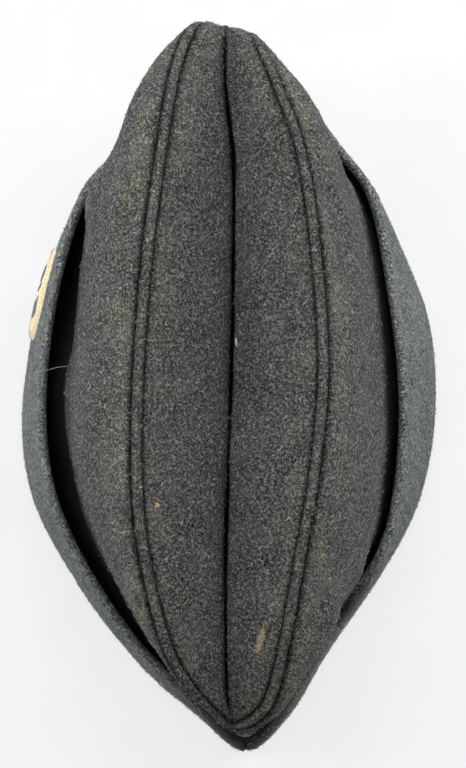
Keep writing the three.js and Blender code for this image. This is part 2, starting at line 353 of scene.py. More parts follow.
class Rib:
    """The crown's section lines at places u along one side, with the directions at its seam."""

    def __init__(self, side, u, sizes):
        self.side = side
        self.t = round_cap(side, u)
        self.seam, self.along = smooth_line(SEAM, self.t)
        self.fold, self.fold_along = smooth_line(FOLD_LINE, u, closed=False)
        self.spacing, _ = smooth_line(SPACING, self.t)
        to_fold = self.fold - self.seam
        self.reach = np.linalg.norm(to_fold, axis=1)
        self.inward = unit(to_fold)
        self.outward = unit(-to_fold * [1, 1, 0])
        shoulder = unit(mix(self.outward, outward_from(self.along), ease(u, *REAR_TURN)[:, None]))
        self.rise = -shoulder * math.cos(SHOULDER_SLOPE) + [0, 0, math.sin(SHOULDER_SLOPE)]
        self.lap = np.minimum(sizes.lap, 0.4 * self.reach)
        self.face = self._face(sizes)

    def _face(self, sizes):
        w = np.linspace(0, 1, 14)
        point, rise, normal = flap_face(self.t, w)
        behind = point - normal * (sizes.flap_cloth + GAP + self.spacing[:, :1] * w)[..., None]
        behind[:, 0, 2] = RIM_HEIGHT + GAP
        belt = behind[:, -1]
        lift = BELT_LIFT * np.linalg.norm(self.seam - belt, axis=1, keepdims=True)
        handles = (belt, belt + rise[:, -1] * lift, self.seam - self.rise * self.spacing[:, 1:], self.seam)
        v = np.linspace(0, 1, 40)[None, :, None]
        shares = ((1 - v) ** 3, 3 * v * (1 - v) ** 2, 3 * v * v * (1 - v), v ** 3)
        curve = sum(handle[:, None] * share for handle, share in zip(handles, shares))
        return np.concatenate([behind[:, :-1], curve], 1)


def below_seam(lines, distances):
    """Points on lines at distances measured back from each line's end."""
    steps = np.linalg.norm(np.diff(lines, axis=1), axis=2)
    travelled = np.concatenate([np.zeros((len(lines), 1)), np.cumsum(steps, 1)], 1)
    out = np.empty(distances.shape + (3,))
    for i, (line, run) in enumerate(zip(lines, travelled)):
        for k in range(3):
            out[i, :, k] = np.interp(run[-1] - distances[i], run, line[:, k])
    return out, travelled[:, -1]


def grid_normals(grid):
    """The way out of a grid of points whose rows go round the cap and whose columns go up it."""
    return unit(np.cross(np.gradient(grid, axis=0), np.gradient(grid, axis=1)))


def lumps(points, wavelength, seed):
    """Soft irregular waves between about -1 and 1, such as cloth has."""
    draw = np.random.default_rng(seed)
    total = np.zeros(points.shape[:-1])
    for _ in range(7):
        way = unit(draw.normal(size=3))
        size = wavelength * draw.uniform(0.7, 1.5)
        total += np.sin(points @ way * (2 * math.pi / size) + draw.uniform(0, 2 * math.pi))
    return total / 3.2


def near(distance, width):
    """1 at no distance, and a soft fall to 0 over a few widths."""
    return np.exp(-(distance / width) ** 2)


def bands(distance, rows):
    """The sum of soft bands beside an edge, from rows of strength, distance and width."""
    return sum(strength * near(distance - middle, width) for strength, middle, width in rows)


def waves(points, rows, seed=0):
    """The height of waves in the cloth, from rows of height, wavelength and number."""
    return sum(height * lumps(points, size, seed + number) for height, size, number in rows)


def bend_between(start, corner, end, part):
    """Places part of the way along a curve from start to end that turns at corner."""
    return start * (1 - part) ** 2 + corner * 2 * part * (1 - part) + end * part ** 2


# Meshes


def wall_mesh(name, outer, inner, wear, crevice, inner_painted_shade=0.0):
    """A closed wall between two grids of points in millimetres, with the rubbing, painted highlight and
    painted shade of its outer points.
    """
    inside_value = {"wear": 0.0, "crevice": inner_painted_shade, "outside": 0.0}
    rows, columns = outer.shape[:2]
    index = np.arange(rows * columns).reshape(rows, columns)
    under = index + rows * columns
    quads = [
        (index[:-1, :-1], index[1:, :-1], index[1:, 1:], index[:-1, 1:]),
        (under[:-1, :-1], under[:-1, 1:], under[1:, 1:], under[1:, :-1]),
        (index[:-1, 0], under[:-1, 0], under[1:, 0], index[1:, 0]),
        (index[1:, -1], under[1:, -1], under[:-1, -1], index[:-1, -1]),
        (index[0, :-1], index[0, 1:], under[0, 1:], under[0, :-1]),
        (index[-1, 1:], index[-1, :-1], under[-1, :-1], under[-1, 1:]),
    ]
    faces = np.concatenate([np.stack([corner.ravel() for corner in quad], 1) for quad in quads])
    points = np.concatenate([outer.reshape(-1, 3), inner.reshape(-1, 3)]) * MM
    mesh = bpy.data.meshes.new(name)
    mesh.from_pydata(points.tolist(), [], faces.tolist())
    mesh.validate()
    mesh.shade_smooth()
    shown = np.ones(wear.shape)
    for attribute, values in (("wear", wear), ("crevice", crevice), ("outside", shown)):
        layer = mesh.attributes.new(attribute, "FLOAT", "POINT")
        inside = np.broadcast_to(inside_value[attribute], inner.shape[:2])
        both = np.concatenate([values.ravel(), inside.ravel()])
        layer.data.foreach_set("value", both.astype(np.float32))
    return mesh


def add_piece(name, mesh, material, replaced=()):
    """Adds a finished piece to the scene, rides it on the frame's body, and hides the frame's parts that it
    replaces.
    """
    piece = bpy.data.objects.new(name, mesh)
    bpy.context.scene.collection.objects.link(piece)
    mesh.materials.clear()
    mesh.materials.append(material)
    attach(piece, BODY)
    if replaced:
        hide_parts(*replaced)
    return piece


def seam_relief(u):
    """How much of its full relief the lapped seam has: less where it goes over the front of the crown."""
    return mix(NOSE_RELIEF, 1, ease(u, *SEAM_FLAT))[:, None]


def at_nose(u):
    """How dark the grooves are, as a share: less over the nose, where they are open to the light."""
    return mix(NOSE_SHADE, 1, ease(u, *NOSE_SHADED))[:, None]


def end_seam(u, end):
    """How far the cloth dips where two pieces are seamed at the front and the rear, by place u."""
    along = np.minimum(u, 1 - u) * end["length"]
    return -end["depth"] * near(along, END_WIDTH)[:, None]


def row_places(side, ends, count):
    """Places of the rows along the cap, closer near its tips. Rows of both sides go round it one way."""
    even = np.linspace(0, 1, count)
    eased = even - 0.55 * np.sin(2 * math.pi * even) / (2 * math.pi)
    places = ends[0] + (ends[1] - ends[0]) * eased
    return places if side == "left" else places[::-1]


def crown_side_grid(side, sizes, rows=360):
    """Places along the side, its ribs, the side panel's middle line surface, the height of the cloth over it,
    and each point's distance from the seam.
    """
    u = row_places(side, (SEAM_HOLD, 1 - SEAM_HOLD), rows)
    rib = Rib(side, u, sizes)
    _, length = below_seam(rib.face, np.zeros((rows, 1)))
    near_groove = groove_section["from_groove"]
    lap = sizes.lap
    full = length[:, None] - lap - near_groove[-1]
    down = np.linspace(1, 0, 44)[None, :-1] * full + near_groove[-1] + lap
    close = np.broadcast_to(lap + near_groove[::-1], (rows, len(near_groove)))
    face, _ = below_seam(rib.face, np.concatenate([down, close], 1))
    at = (lap_section["at"] + 1) / 2
    groove = face[:, -1][:, None]
    edge = (rib.seam + rib.inward * rib.lap[:, None])[:, None]
    crest = rib.seam[:, None]
    part = at[None, :, None]
    strip = bend_between(groove, crest, edge, part)
    base = np.concatenate([face, strip], 1)
    narrow = mix(1, rib.lap[:, None] / lap, at[None, :]) * seam_relief(u)
    height = np.concatenate([
        np.zeros((rows, down.shape[1])),
        groove_section["height"][::-1] * seam_relief(u),
        lap_section["height"] * narrow,
    ], 1)
    from_seam = np.concatenate([down, close, np.broadcast_to(-lap * (2 * at - 1), (rows, len(at)))], 1)
    return u, rib, base, height, from_seam


def fold_height(base, side):
    """The height of the soft folds that hang in a side panel, from their lines in plan."""
    height = np.zeros(base.shape[:2])
    for line in SOFT_FOLDS[side]:
        points = np.array(line["route"], float)
        away, past = from_route(base[..., :2], points)
        ends = ease(past, 0, 0.25) * (1 - ease(past, 0.7, 1))
        crest = line["rise"] * near(away, line["width"])
        trough = -line["fall"] * near(away - line["width"] * 1.5, line["width"] * 1.4)
        height += (crest + trough) * ends
    return height


def from_route(places, route):
    """The distance of each place from a route in plan, more than 0 to its right, and how far along it is."""
    lengths = np.linalg.norm(np.diff(route, axis=0), axis=1)
    starts = np.concatenate([[0], np.cumsum(lengths)])
    nearest = np.full(places.shape[:2], np.inf)
    signed = np.zeros(places.shape[:2])
    past = np.zeros(places.shape[:2])
    for k, (start, end) in enumerate(zip(route[:-1], route[1:])):
        way = (end - start) / lengths[k]
        offset = places - start
        along = np.clip(offset @ way, 0, lengths[k])
        away = np.linalg.norm(offset - along[..., None] * way, axis=-1)
        side = np.sign(offset[..., 0] * way[1] - offset[..., 1] * way[0])
        closer = away < nearest
        nearest = np.where(closer, away, nearest)
        signed = np.where(closer, away * side, signed)
        past = np.where(closer, (starts[k] + along) / starts[-1], past)
    return signed, past


# Soft folds in the side panels, from the front to the rear in plan. rise is a fold's height on its
# line and fall its depth to the right of that line.
SOFT_FOLDS = {
    "left": (
        {"route": ((-26, 88), (-30, 70), (-36, 50), (-38, 30)), "width": 3.0, "rise": 0.9, "fall": -0.3},
    ),
    "right": (
        {"route": ((25, 90), (29, 76), (37.5, 57), (41.4, 44), (42.4, 30), (42, 14)), "width": 2.6,
         "rise": 1.5, "fall": 2.1},
    ),
}

# Soft swellings of the side panels, as place x and y, width and height, or depth where it is less than
# 0, from the places where the photograph shows them. A swelling starts over the flap's edge.
SWELLS = {
    "left": ((-38, 78, 5, -0.9), (-48, 35, 9, 3.6), (-46.5, 66, 4.5, 3.4), (-50.5, -2, 9, 1.1),
             (-51, -34, 9, 1.4)),
    "right": ((33, 76, 6, -0.9), (40, 58, 6, -1.3), (44, 40, 6, -1.2), (45, -5, 9, -0.7),
              (34, -82, 5.5, 3.8), (42, -66, 5.5, 3.4)),
}
SWELL_STRETCH = 2.2  # how much longer than wide a swelling is
OVER_FLAP = (-3, 4)  # heights over the flap's top edge between which a swelling grows


def swell_height(base, side, over_flap):
    """The height of a side panel's soft swellings and hollows."""
    height = np.zeros(base.shape[:2])
    for x, y, width, swell in SWELLS[side]:
        apart = np.hypot(base[..., 0] - x, (base[..., 1] - y) / SWELL_STRETCH)
        shown = 1 if swell < 0 else ease(over_flap, *OVER_FLAP)
        height += swell * near(apart, width) * shown
    return height


def crown_side_mesh(side, sizes):
    """A side panel with its lapped seam, and the line in its groove that the stitches follow."""
    u, rib, base, height, from_seam = crown_side_grid(side, sizes)
    normals = grid_normals(base)
    seed = CROWN_SEEDS[side]
    from_groove = np.abs(from_seam) - sizes.lap
    over_flap = base[..., 2] - smooth_line(TOP, rib.t)[0][:, 2:]
    free = 1 - near(from_seam, SEAM_CALM)
    height = height + free * waves(base, CROWN_WAVES, seed)
    height = height + near(from_groove, PUCKER_WIDTH) * waves(base, CROWN_PUCKERS, seed)
    height = height + waves(base, CROWN_GRAIN, seed) + end_seam(u, CROWN_END)
    height = height + free * (swell_height(base, side, over_flap) + fold_height(base, side))
    # Painted shade: the pocket between flap and crown and the stitched grooves are darkened in the cloth's
    # colour.
    light = np.maximum(POCKET["per_gap"] * rib.spacing[:, :1] + POCKET["start"], POCKET["least"])
    pocket = 1 - ease(over_flap, POCKET["dark"], light)
    uneven = np.clip(GROOVE_DARK + waves(base, SHADE_WAVES, seed), 0, 1)
    crevice = np.maximum(uneven * at_nose(u) * near(from_groove, GROOVE_SHADE), pocket)
    # Painted highlight: the crown's edge over the rear of the flap gets the rubbed warm tone, for the pale
    # light along it.
    rear = ease(u, *REAR_HIGHLIGHT)[:, None] * bands(over_flap, REAR_HIGHLIGHT_BAND)
    wear = bands(from_seam, CROWN_RUBBED) + rear
    outer = base + normals * height[..., None]
    inner = base - normals * sizes.crown_cloth
    inner[:, 0, 2] = outer[:, 0, 2] = RIM_HEIGHT + GAP
    groove = np.abs(from_seam[0] - sizes.lap).argmin()
    stitched = outer[:, groove] + normals[:, groove] * STITCH_RISE
    return wall_mesh(f"crown_side_{side}_cloth", outer, inner, wear, crevice), stitched


def insert_half(side, u, sizes):
    """The insert's half on one side, from its edge under the seam to the bottom of the fold."""
    rib = Rib(side, u, sizes)
    deep = np.clip((rib.reach - rib.lap) / INSERT_REACH, 0, 1)[:, None]
    edge = rib.seam + rib.inward * (rib.lap[:, None] - INSERT_TUCK)
    round_off = FOLD_ROUNDING[side] * np.clip(deep * 2.2, 0.1, 1)
    bottom = rib.fold + rib.outward * FOLD_WALLS[side] * np.clip(deep * 2, 0.3, 1)
    corner = bottom + [0, 0, 1] * (sizes.fold_depth * deep)
    slope = unit(corner - edge)
    run = np.linalg.norm(corner - edge, axis=1, keepdims=True)
    turn = corner - slope * np.minimum(round_off, run * 0.45)
    down = corner + (bottom - corner) * np.minimum(round_off / (sizes.fold_depth * deep + 1e-6), 0.6)
    close = insert_edge["from_edge"]
    flat = np.linalg.norm(turn - edge, axis=1, keepdims=True)
    spread = np.minimum(close[-1], 0.3 * flat)
    near_edge = close[None, :] / close[-1] * spread
    across = np.concatenate([near_edge, mix(spread, flat, np.linspace(0, 1, 15)[None, 1:])], 1)
    sheet = edge[:, None] + slope[:, None] * across[..., None]
    part = np.linspace(0, 1, 9)[None, 1:, None]
    bend = bend_between(turn[:, None], corner[:, None], down[:, None], part)
    part = np.linspace(0, 1, 5)[None, 1:, None]
    plunge = mix(down[:, None], bottom[:, None], part)
    grid = np.concatenate([sheet, bend, plunge], 1)
    height = np.zeros(grid.shape[:2])
    height[:, :len(close)] = insert_edge["height"] * rib.lap[:, None] / sizes.lap * seam_relief(u)
    arch = np.sin(math.pi * np.clip(across / flat, 0, 1))
    nose = sizes.nose_puff * near(u - NOSE_MIDDLE, NOSE_LENGTH)[:, None]
    height[:, :across.shape[1]] += arch ** 1.5 * deep * sizes.insert_puff + arch ** 0.7 * nose
    from_edge = np.concatenate([across, np.broadcast_to(flat + 3, (len(u), 8 + 4))], 1)
    return grid, height, from_edge


def crown_insert_mesh(sizes):
    """The folded insert, and the lines beside its edges that the stitches follow."""
    u = row_places("left", INSERT_ENDS, 180)
    left, left_height, left_from = insert_half("left", u, sizes)
    right, right_height, right_from = insert_half("right", u, sizes)
    bottom = ((left[:, -1] + right[:, -1]) / 2 - [0, 0, FOLD_DROP])[:, None]
    base = np.concatenate([left, bottom, right[:, ::-1]], 1)
    height = np.concatenate([left_height, np.zeros((len(u), 1)), right_height[:, ::-1]], 1)
    from_edge = np.concatenate([left_from, np.full((len(u), 1), 40.0), right_from[:, ::-1]], 1)
    normals = grid_normals(base)
    free = 1 - near(from_edge, INSERT_CALM)
    height = height + free * waves(base, INSERT_WAVES)
    height = height + near(from_edge, INSERT_PUCKER) * waves(base, INSERT_PUCKERS)
    height = height + waves(base, INSERT_GRAIN)
    wear = bands(from_edge, INSERT_RUBBED)
    # Painted shade under the seam's folded edge and down the insert's fold.
    crevice = np.maximum(near(from_edge - INSERT_TUCK, 1.0), valley_shade(left.shape[1], right.shape[1]))
    crevice = crevice * at_nose(u)
    outer = base + normals * height[..., None]
    inner = base - normals * sizes.crown_cloth * INSERT_THIN
    stitched = [outer[:, k] + normals[:, k] * STITCH_RISE for k in (2, -3)]
    return wall_mesh("crown_insert_cloth", outer, inner, wear, crevice), stitched


def valley_shade(left_columns, right_columns):
    """Painted shade of the insert's fold: 1 on its walls, 0 on its open faces, and between them where they
    turn down.
    """
    steep = FOLD_STEEP
    turning = np.array(FOLD_TURNING)
    across = np.zeros(left_columns + 1 + right_columns)
    across[left_columns - steep:left_columns + 1 + steep] = 1
    across[left_columns - steep - len(turning):left_columns - steep] = turning
    across[left_columns + 1 + steep:left_columns + 3 + steep] = turning[:2:-1]
    return across[None, :]


def flap_mesh(side, sizes):
    """A turned-up flap of doubled cloth, from the rim's foot to its rounded top edge."""
    u = row_places(side, (SEAM_HOLD, 1 - SEAM_HOLD), 200)
    t = round_cap(side, u)
    rim, along = smooth_line(RIM, t)
    out = outward_from(along)
    cloth = sizes.flap_cloth
    half = cloth / 2
    height = smooth_line(TOP, t)[0][:, 2]

    def inside(depth, level):
        return (rim - out * depth) * [1, 1, 0] + [0, 0, level]

    w = np.linspace(0, 1 - half / height.mean(), 34)
    face, rise, normal = flap_face(t, w)
    last, up, way = face[:, -1], rise[:, -1], normal[:, -1]
    centre = last - way * half
    arc = np.radians(np.linspace(0, 90, 8))[None, 1:, None]
    outer_arc = centre[:, None] + half * (way[:, None] * np.cos(arc) + up[:, None] * np.sin(arc))
    arc = np.radians(np.linspace(0, 78, 8))[None, 1:, None]
    inner_arc = centre[:, None] + half * (-way[:, None] * np.cos(arc) + up[:, None] * np.sin(arc))
    part = np.linspace(0, 1, 6)[None, 1:-1, None]
    foot_in, foot_out = inside(RIM_FOOT[1], 0), inside(RIM_FOOT[0], 0)
    hem = bend_between(foot_out[:, None], inside(-0.1, 0.2)[:, None], face[:, :1], part)
    outer = np.concatenate([foot_in[:, None], foot_out[:, None], hem, face, outer_arc], 1)
    back = face - normal * cloth
    back[:, 0, 2] = RIM_HEIGHT
    under = cloth + GAP + sizes.crown_cloth
    low = [inside(under, RIM_HEIGHT * 0.4), inside(under, RIM_HEIGHT)]
    low += [inside(mix(under, cloth, k), RIM_HEIGHT) for k in (0.25, 0.5, 0.7, 0.85)]
    inner = np.concatenate([np.stack(low, 1), back, inner_arc], 1)
    spans = face.shape[1] + outer_arc.shape[1]
    shown = outer[:, -spans:]
    up_face = np.concatenate([w, np.full(outer_arc.shape[1], 1.0)])
    from_top = (1 - up_face) * height.mean()
    normals = np.concatenate([normal, unit(outer_arc - centre[:, None])], 1)
    raised = np.broadcast_to(bands(from_top, FLAP_TOP_RAISED), (len(u), spans))
    lift = waves(shown, FLAP_WAVES, FLAP_SEEDS[side]) * np.sin(math.pi * np.clip(up_face, 0.04, 0.96))
    grain = waves(shown, FLAP_GRAIN, FLAP_SEEDS[side])
    level = np.clip(up_face * FOOT_HELD, 0, 1) * (raised + lift + grain) + end_seam(u, FLAP_END)
    shown += normals * level[..., None]
    wear = np.zeros(outer.shape[:2])
    wear[:, -spans:] = bands(from_top, FLAP_TOP_RUBBED) + bands(up_face * height.mean(), FLAP_FOOT_RUBBED)
    # Painted shade on the flap: under the crown's rear, in the seam dips at the front and rear, and at the
    # floor.
    overhung = np.zeros(wear.shape)
    overhung[:, -spans:] = crown_shade(side, u, up_face)
    in_seam = near(np.minimum(u, 1 - u) * FLAP_END["length"], END_SHADE)[:, None]
    at_floor = 1 - ease(outer[..., 2], *FLOOR_SHADE)
    crevice = np.maximum(np.maximum(in_seam, overhung), at_floor)
    # Painted shade on the back of the flap's rounded top edge, inside the pocket.
    pocket = np.ones(inner.shape[1])
    pocket[-inner_arc.shape[1]:] = np.linspace(*FLAP_BACK_SHADE, inner_arc.shape[1])
    return wall_mesh(f"flap_{side}_cloth", outer, inner, wear, crevice, pocket)


def crown_shade(side, u, up_face):
    """The shade that the overhanging rear of the crown throws on a flap."""
    shade = ease(u, *UNDER_CROWN)[:, None] * mix(*OVERHUNG, ease(up_face, 0.3, 0.9))
    if side == "right":
        at_top = RIGHT_TOP_SHADE * ease(u, *UNDER_RIGHT)[:, None] * ease(up_face, 0.6, 0.95)
        shade = np.maximum(shade, at_top)
    return shade


def badge_place(a, b, height):
    """Points over the left flap: a along it towards the rear from the badge's middle, b up it, height out."""
    middle = np.array([BADGE_ALONG / 2])
    step = 0.01
    ahead, behind = (flap_face(middle + s, [BADGE_UP])[0][0, 0] for s in (step, -step))
    along_size = np.linalg.norm(ahead - behind) / (2 * step)
    foot, top = flap_face(middle, [0.0, 1.0])[0][0]
    up_size = np.linalg.norm(top - foot)
    t = middle + a.ravel() / along_size
    w = BADGE_UP + b.ravel()[:, None] / up_size
    face, _, normal = flap_face(t, w)
    stand = BADGE_HANG * np.clip(-b.ravel() / 10, 0, 1.5) ** 1.5
    points = face[:, 0] + normal[:, 0] * (height.ravel() + stand)[:, None]
    return points.reshape(a.shape + (3,))


def patch_mesh(name, middle, size, foot, rise, square, seed):
    """A patch with rounded edges on the left flap: an oval, or a bar where square is true."""
    even = np.sin(np.linspace(-math.pi / 2, math.pi / 2, 41))
    p, q = np.meshgrid(even, even, indexing="ij")
    if square:
        a, b = p, q
        far = (p ** 8 + q ** 8) ** 0.125
    else:
        a, b = p * np.sqrt(1 - q * q / 2), q * np.sqrt(1 - p * p / 2)
        far = np.sqrt(p * p + q * q - p * p * q * q)
    a = middle[0] + a * size[0] / 2
    b = middle[1] + b * size[1] / 2
    level = foot + rise * np.sqrt(1 - np.clip(far, 0, 1) ** 5)
    flat = badge_place(a, b, level)
    level = level + 0.08 * lumps(flat, 5, seed) * (1 - far ** 4)
    plain = np.zeros(level.shape)
    under = badge_place(a, b, np.full(level.shape, foot - PATCH_SUNK))
    return wall_mesh(name, badge_place(a, b, level), under, plain, plain)


def line_mesh(lines, lays):
    """Loose edges through lines of points in millimetres, each point with the way its stitch lies."""
    edges = []
    start = 0
    for line in lines:
        edges += [(start + i, start + i + 1) for i in range(len(line) - 1)]
        start += len(line)
    mesh = bpy.data.meshes.new("stitch_lines")
    mesh.from_pydata((np.concatenate(lines) * MM).tolist(), edges, [])
    layer = mesh.attributes.new("lay", "FLOAT_VECTOR", "POINT")
    layer.data.foreach_set("vector", np.concatenate(lays).astype(np.float32).ravel())
    return mesh


def new_tree(name, inputs):
    """A Geometry Nodes tree with named inputs, the function that adds a node to it, and its inputs."""
    tree = bpy.data.node_groups.new(name, "GeometryNodeTree")
    tree.interface.new_socket("Geometry", in_out="INPUT", socket_type="NodeSocketGeometry")
    for label, kind in inputs:
        tree.interface.new_socket(label, in_out="INPUT", socket_type=f"NodeSocket{kind}")
    tree.interface.new_socket("Geometry", in_out="OUTPUT", socket_type="NodeSocketGeometry")
    given = add_node(tree, "NodeGroupInput").node.outputs
    return tree, partial(add_node, tree), given


def finish_tree(node, geometry, material):
    """Ends a tree: its copies become one mesh with one material."""
    real = node("GeometryNodeRealizeInstances", {"Geometry": geometry})
    smooth = node("GeometryNodeSetShadeSmooth", {"Geometry": real})
    coated = node("GeometryNodeSetMaterial", {"Geometry": smooth, "Material": material})
    node("NodeGroupOutput", {"Geometry": coated})


def stitch_tree():
    """A row of stitches: one at each step along a line, lying the way that its point says."""
    tree, node, given = new_tree("stitch_row", (
        ("Pitch", "Float"), ("Length", "Float"), ("Thickness", "Float"), ("Wander", "Vector"),
        ("Seed", "Int"), ("Thread", "Material"),
    ))
    line = node("GeometryNodeMeshToCurve", {"Mesh": given["Geometry"]})
    even = node("GeometryNodeResampleCurve", {"Curve": line, "Length": given["Pitch"]}, mode="LENGTH")
    lay = node("GeometryNodeInputNamedAttribute", {"Name": "lay"}, data_type="FLOAT_VECTOR")
    along = node("FunctionNodeAlignRotationToVector", {"Vector": lay}, axis="Z")
    back = node("ShaderNodeVectorMath", {0: given["Wander"], 1: (-1, -1, -1)}, operation="MULTIPLY")
    turn = node(
        "FunctionNodeRandomValue", {0: back, 1: given["Wander"], 8: given["Seed"]},
        data_type="FLOAT_VECTOR",
    )
    askew = node("FunctionNodeEulerToRotation", {0: turn})
    laid = node("FunctionNodeRotateRotation", {0: along, 1: askew}, rotation_space="LOCAL")
    thick = given["Thickness"]
    size = node("ShaderNodeCombineXYZ", {0: thick, 1: thick, 2: given["Length"]})
    stitch = node("GeometryNodeMeshUVSphere", {"Segments": 6, "Rings": 4, "Radius": 0.5})
    row = node(
        "GeometryNodeInstanceOnPoints",
        {"Points": even, "Instance": stitch, "Rotation": laid, "Scale": size},
    )
    finish_tree(node, row, given["Thread"])
    return tree


# A loose fibre is a curve of three points, for a fibre 1 long that lies along the cloth.
FIBRE_CURVE = {"Start": (0, 0, -0.04), "Middle": (0.4, 0.45, 0.05), "End": (0.95, 0.05, 0.0)}
FIBRE_TAPER = 1.5  # how much thinner a fibre is at its ends
FIBRE_LEAN = ((-0.7, -0.42, 0.0), (0.7, -0.02, 2 * math.pi))  # between which a fibre's turns are drawn
FIBRE_REACH = (0.5, 1.5)  # between which a fibre's share of the mean length is drawn
TONE_SEED = 7


def nap_tree():
    """Loose fibres scattered over the shown faces of cloth, thinner where the cloth is painted with shade."""
    tree, node, given = new_tree("nap", (
        ("Density", "Float"), ("Length", "Float"), ("Thickness", "Float"), ("Seed", "Int"),
        ("Fibre", "Material"),
    ))
    seed = given["Seed"]
    outside = node("GeometryNodeInputNamedAttribute", {"Name": "outside"}, data_type="FLOAT")
    crevice = node("GeometryNodeInputNamedAttribute", {"Name": "crevice"}, data_type="FLOAT")
    lit = node("ShaderNodeMath", {0: 1.0, 1: crevice}, operation="SUBTRACT")
    open_face = node("ShaderNodeMath", {0: outside, 1: lit}, operation="MULTIPLY")
    density = node("ShaderNodeMath", {0: open_face, 1: given["Density"]}, operation="MULTIPLY")
    roots = node(
        "GeometryNodeDistributePointsOnFaces",
        {"Mesh": given["Geometry"], "Density": density, "Seed": seed}, distribute_method="RANDOM",
    )
    bend = node("GeometryNodeCurveQuadraticBezier", {"Resolution": 2, **FIBRE_CURVE})
    along = node("GeometryNodeSplineParameter", output="Factor")
    from_middle = node("ShaderNodeMath", {0: along, 1: 0.5}, operation="SUBTRACT")
    apart = node("ShaderNodeMath", {0: from_middle}, operation="ABSOLUTE")
    loss = node("ShaderNodeMath", {0: apart, 1: FIBRE_TAPER}, operation="MULTIPLY")
    taper = node("ShaderNodeMath", {0: 1.0, 1: loss}, operation="SUBTRACT")
    tapered = node("GeometryNodeSetCurveRadius", {"Curve": bend, "Radius": taper})
    half = node("ShaderNodeMath", {0: given["Thickness"], 1: 0.5}, operation="MULTIPLY")
    thin = node("ShaderNodeMath", {0: half, 1: given["Length"]}, operation="DIVIDE")
    section = node("GeometryNodeCurvePrimitiveCircle", {"Resolution": 3, "Radius": thin}, mode="RADIUS")
    fibre = node(
        "GeometryNodeCurveToMesh", {"Curve": tapered, "Profile Curve": section, "Fill Caps": True})
    turn = node(
        "FunctionNodeRandomValue", {0: FIBRE_LEAN[0], 1: FIBRE_LEAN[1], 8: seed},
        data_type="FLOAT_VECTOR",
    )
    spin = node("FunctionNodeEulerToRotation", {0: turn})
    laid = node(
        "FunctionNodeRotateRotation", {0: roots.node.outputs["Rotation"], 1: spin},
        rotation_space="LOCAL",
    )
    reach = node(
        "FunctionNodeRandomValue", {2: FIBRE_REACH[0], 3: FIBRE_REACH[1], 8: seed}, output=1,
        data_type="FLOAT",
    )
    size = node("ShaderNodeMath", {0: reach, 1: given["Length"]}, operation="MULTIPLY")
    fibres = node(
        "GeometryNodeInstanceOnPoints",
        {"Points": roots, "Instance": fibre, "Rotation": laid, "Scale": size},
    )
    tone = node("FunctionNodeRandomValue", {2: 0.0, 3: 1.0, 8: TONE_SEED}, output=1, data_type="FLOAT")
    toned = node(
        "GeometryNodeStoreNamedAttribute", {"Geometry": fibres, "Name": "tone", "Value": tone},
        data_type="FLOAT", domain="INSTANCE",
    )
    finish_tree(node, toned, given["Fibre"])
    return tree


def grown_mesh(name, source, tree, values):
    """The mesh that a Geometry Nodes tree makes of a source mesh, with the tree's inputs by name."""
    carrier = bpy.data.objects.new(name, source)
    bpy.context.scene.collection.objects.link(carrier)
    modifier = carrier.modifiers.new("grow", "NODES")
    modifier.node_group = tree
    for item in tree.interface.items_tree:
        if item.in_out == "INPUT" and item.name in values:
            modifier[item.identifier] = values[item.name]
    mesh = bpy.data.meshes.new_from_object(carrier.evaluated_get(bpy.context.evaluated_depsgraph_get()))
    carrier.modifiers.remove(modifier)
    bpy.data.objects.remove(carrier)
    mesh.name = name
    return mesh


def shown_area(mesh):
    """The area in square metres of the faces whose points are all shown."""
    outside = mesh.attributes["outside"].data
    return sum(face.area for face in mesh.polygons if all(outside[i].value > 0.5 for i in face.vertices))


def strand_mesh(name, points, thickness):
    """A closed strand through points in millimetres, thinner to its ends."""
    t = np.linspace(0, 1, 6 * len(points))
    line, along = smooth_line(np.array(points, float), t, closed=False)
    across = unit(np.cross(along, [0.0, 0.0, 1.0]))
    up = np.cross(across, along)
    radius = thickness / 2 * np.sqrt(1 - 0.96 * (2 * t - 1) ** 4)
    sides = 6
    angle = np.arange(sides) * 2 * math.pi / sides
    ring = across[:, None] * np.cos(angle)[:, None] + up[:, None] * np.sin(angle)[:, None]
    tube = (line[:, None] + ring * radius[:, None, None]).reshape(-1, 3) * MM
    faces = [
        (k * sides + i, k * sides + (i + 1) % sides, (k + 1) * sides + (i + 1) % sides, (k + 1) * sides + i)
        for k in range(len(t) - 1) for i in range(sides)
    ]
    faces += [tuple(range(sides))[::-1], tuple(range(len(tube) - sides, len(tube)))]
    mesh = bpy.data.meshes.new(name)
    mesh.from_pydata(tube.tolist(), [], faces)
    mesh.shade_smooth()
    return mesh


# Materials


def linear(hex_colour):
    """The linear colour of an sRGB hex value such as 4a4c4b."""
    parts = [int(hex_colour[i:i + 2], 16) / 255 for i in (0, 2, 4)]
    return tuple(c / 12.92 if c <= 0.04045 else ((c + 0.055) / 1.055) ** 2.4 for c in parts) + (1.0,)


def add_node(tree, kind, inputs=None, output=0, stops=(), **settings):
    """Adds a node to a tree and gives its output of that place or name.

    Each input is a value, or another node's output, which is linked to it. stops are a colour ramp's
    places and colours.
    """
    node = tree.nodes.new(kind)
    for name, value in settings.items():
        setattr(node, name, value)
    for key, value in (inputs or {}).items():
        if isinstance(value, bpy.types.NodeSocket):
            tree.links.new(value, node.inputs[key])
        else:
            node.inputs[key].default_value = value
    if stops:
        elements = node.color_ramp.elements
        while len(elements) < len(stops):
            elements.new(0.5)
        for element, (place, colour) in zip(elements, stops):
            element.position = place
            element.color = colour
    return node.outputs[output] if node.outputs else None


def new_material(name):
    """An empty material, and the function that adds a node to it."""
    material = bpy.data.materials.new(name)
    material.use_nodes = True
    material.node_tree.nodes.clear()
    return material, partial(add_node, material.node_tree)


# A colour mix has its factor, its two colours and its result at these places among its sockets.
FACTOR, FIRST, SECOND = 0, 6, 7
MIXED = 2

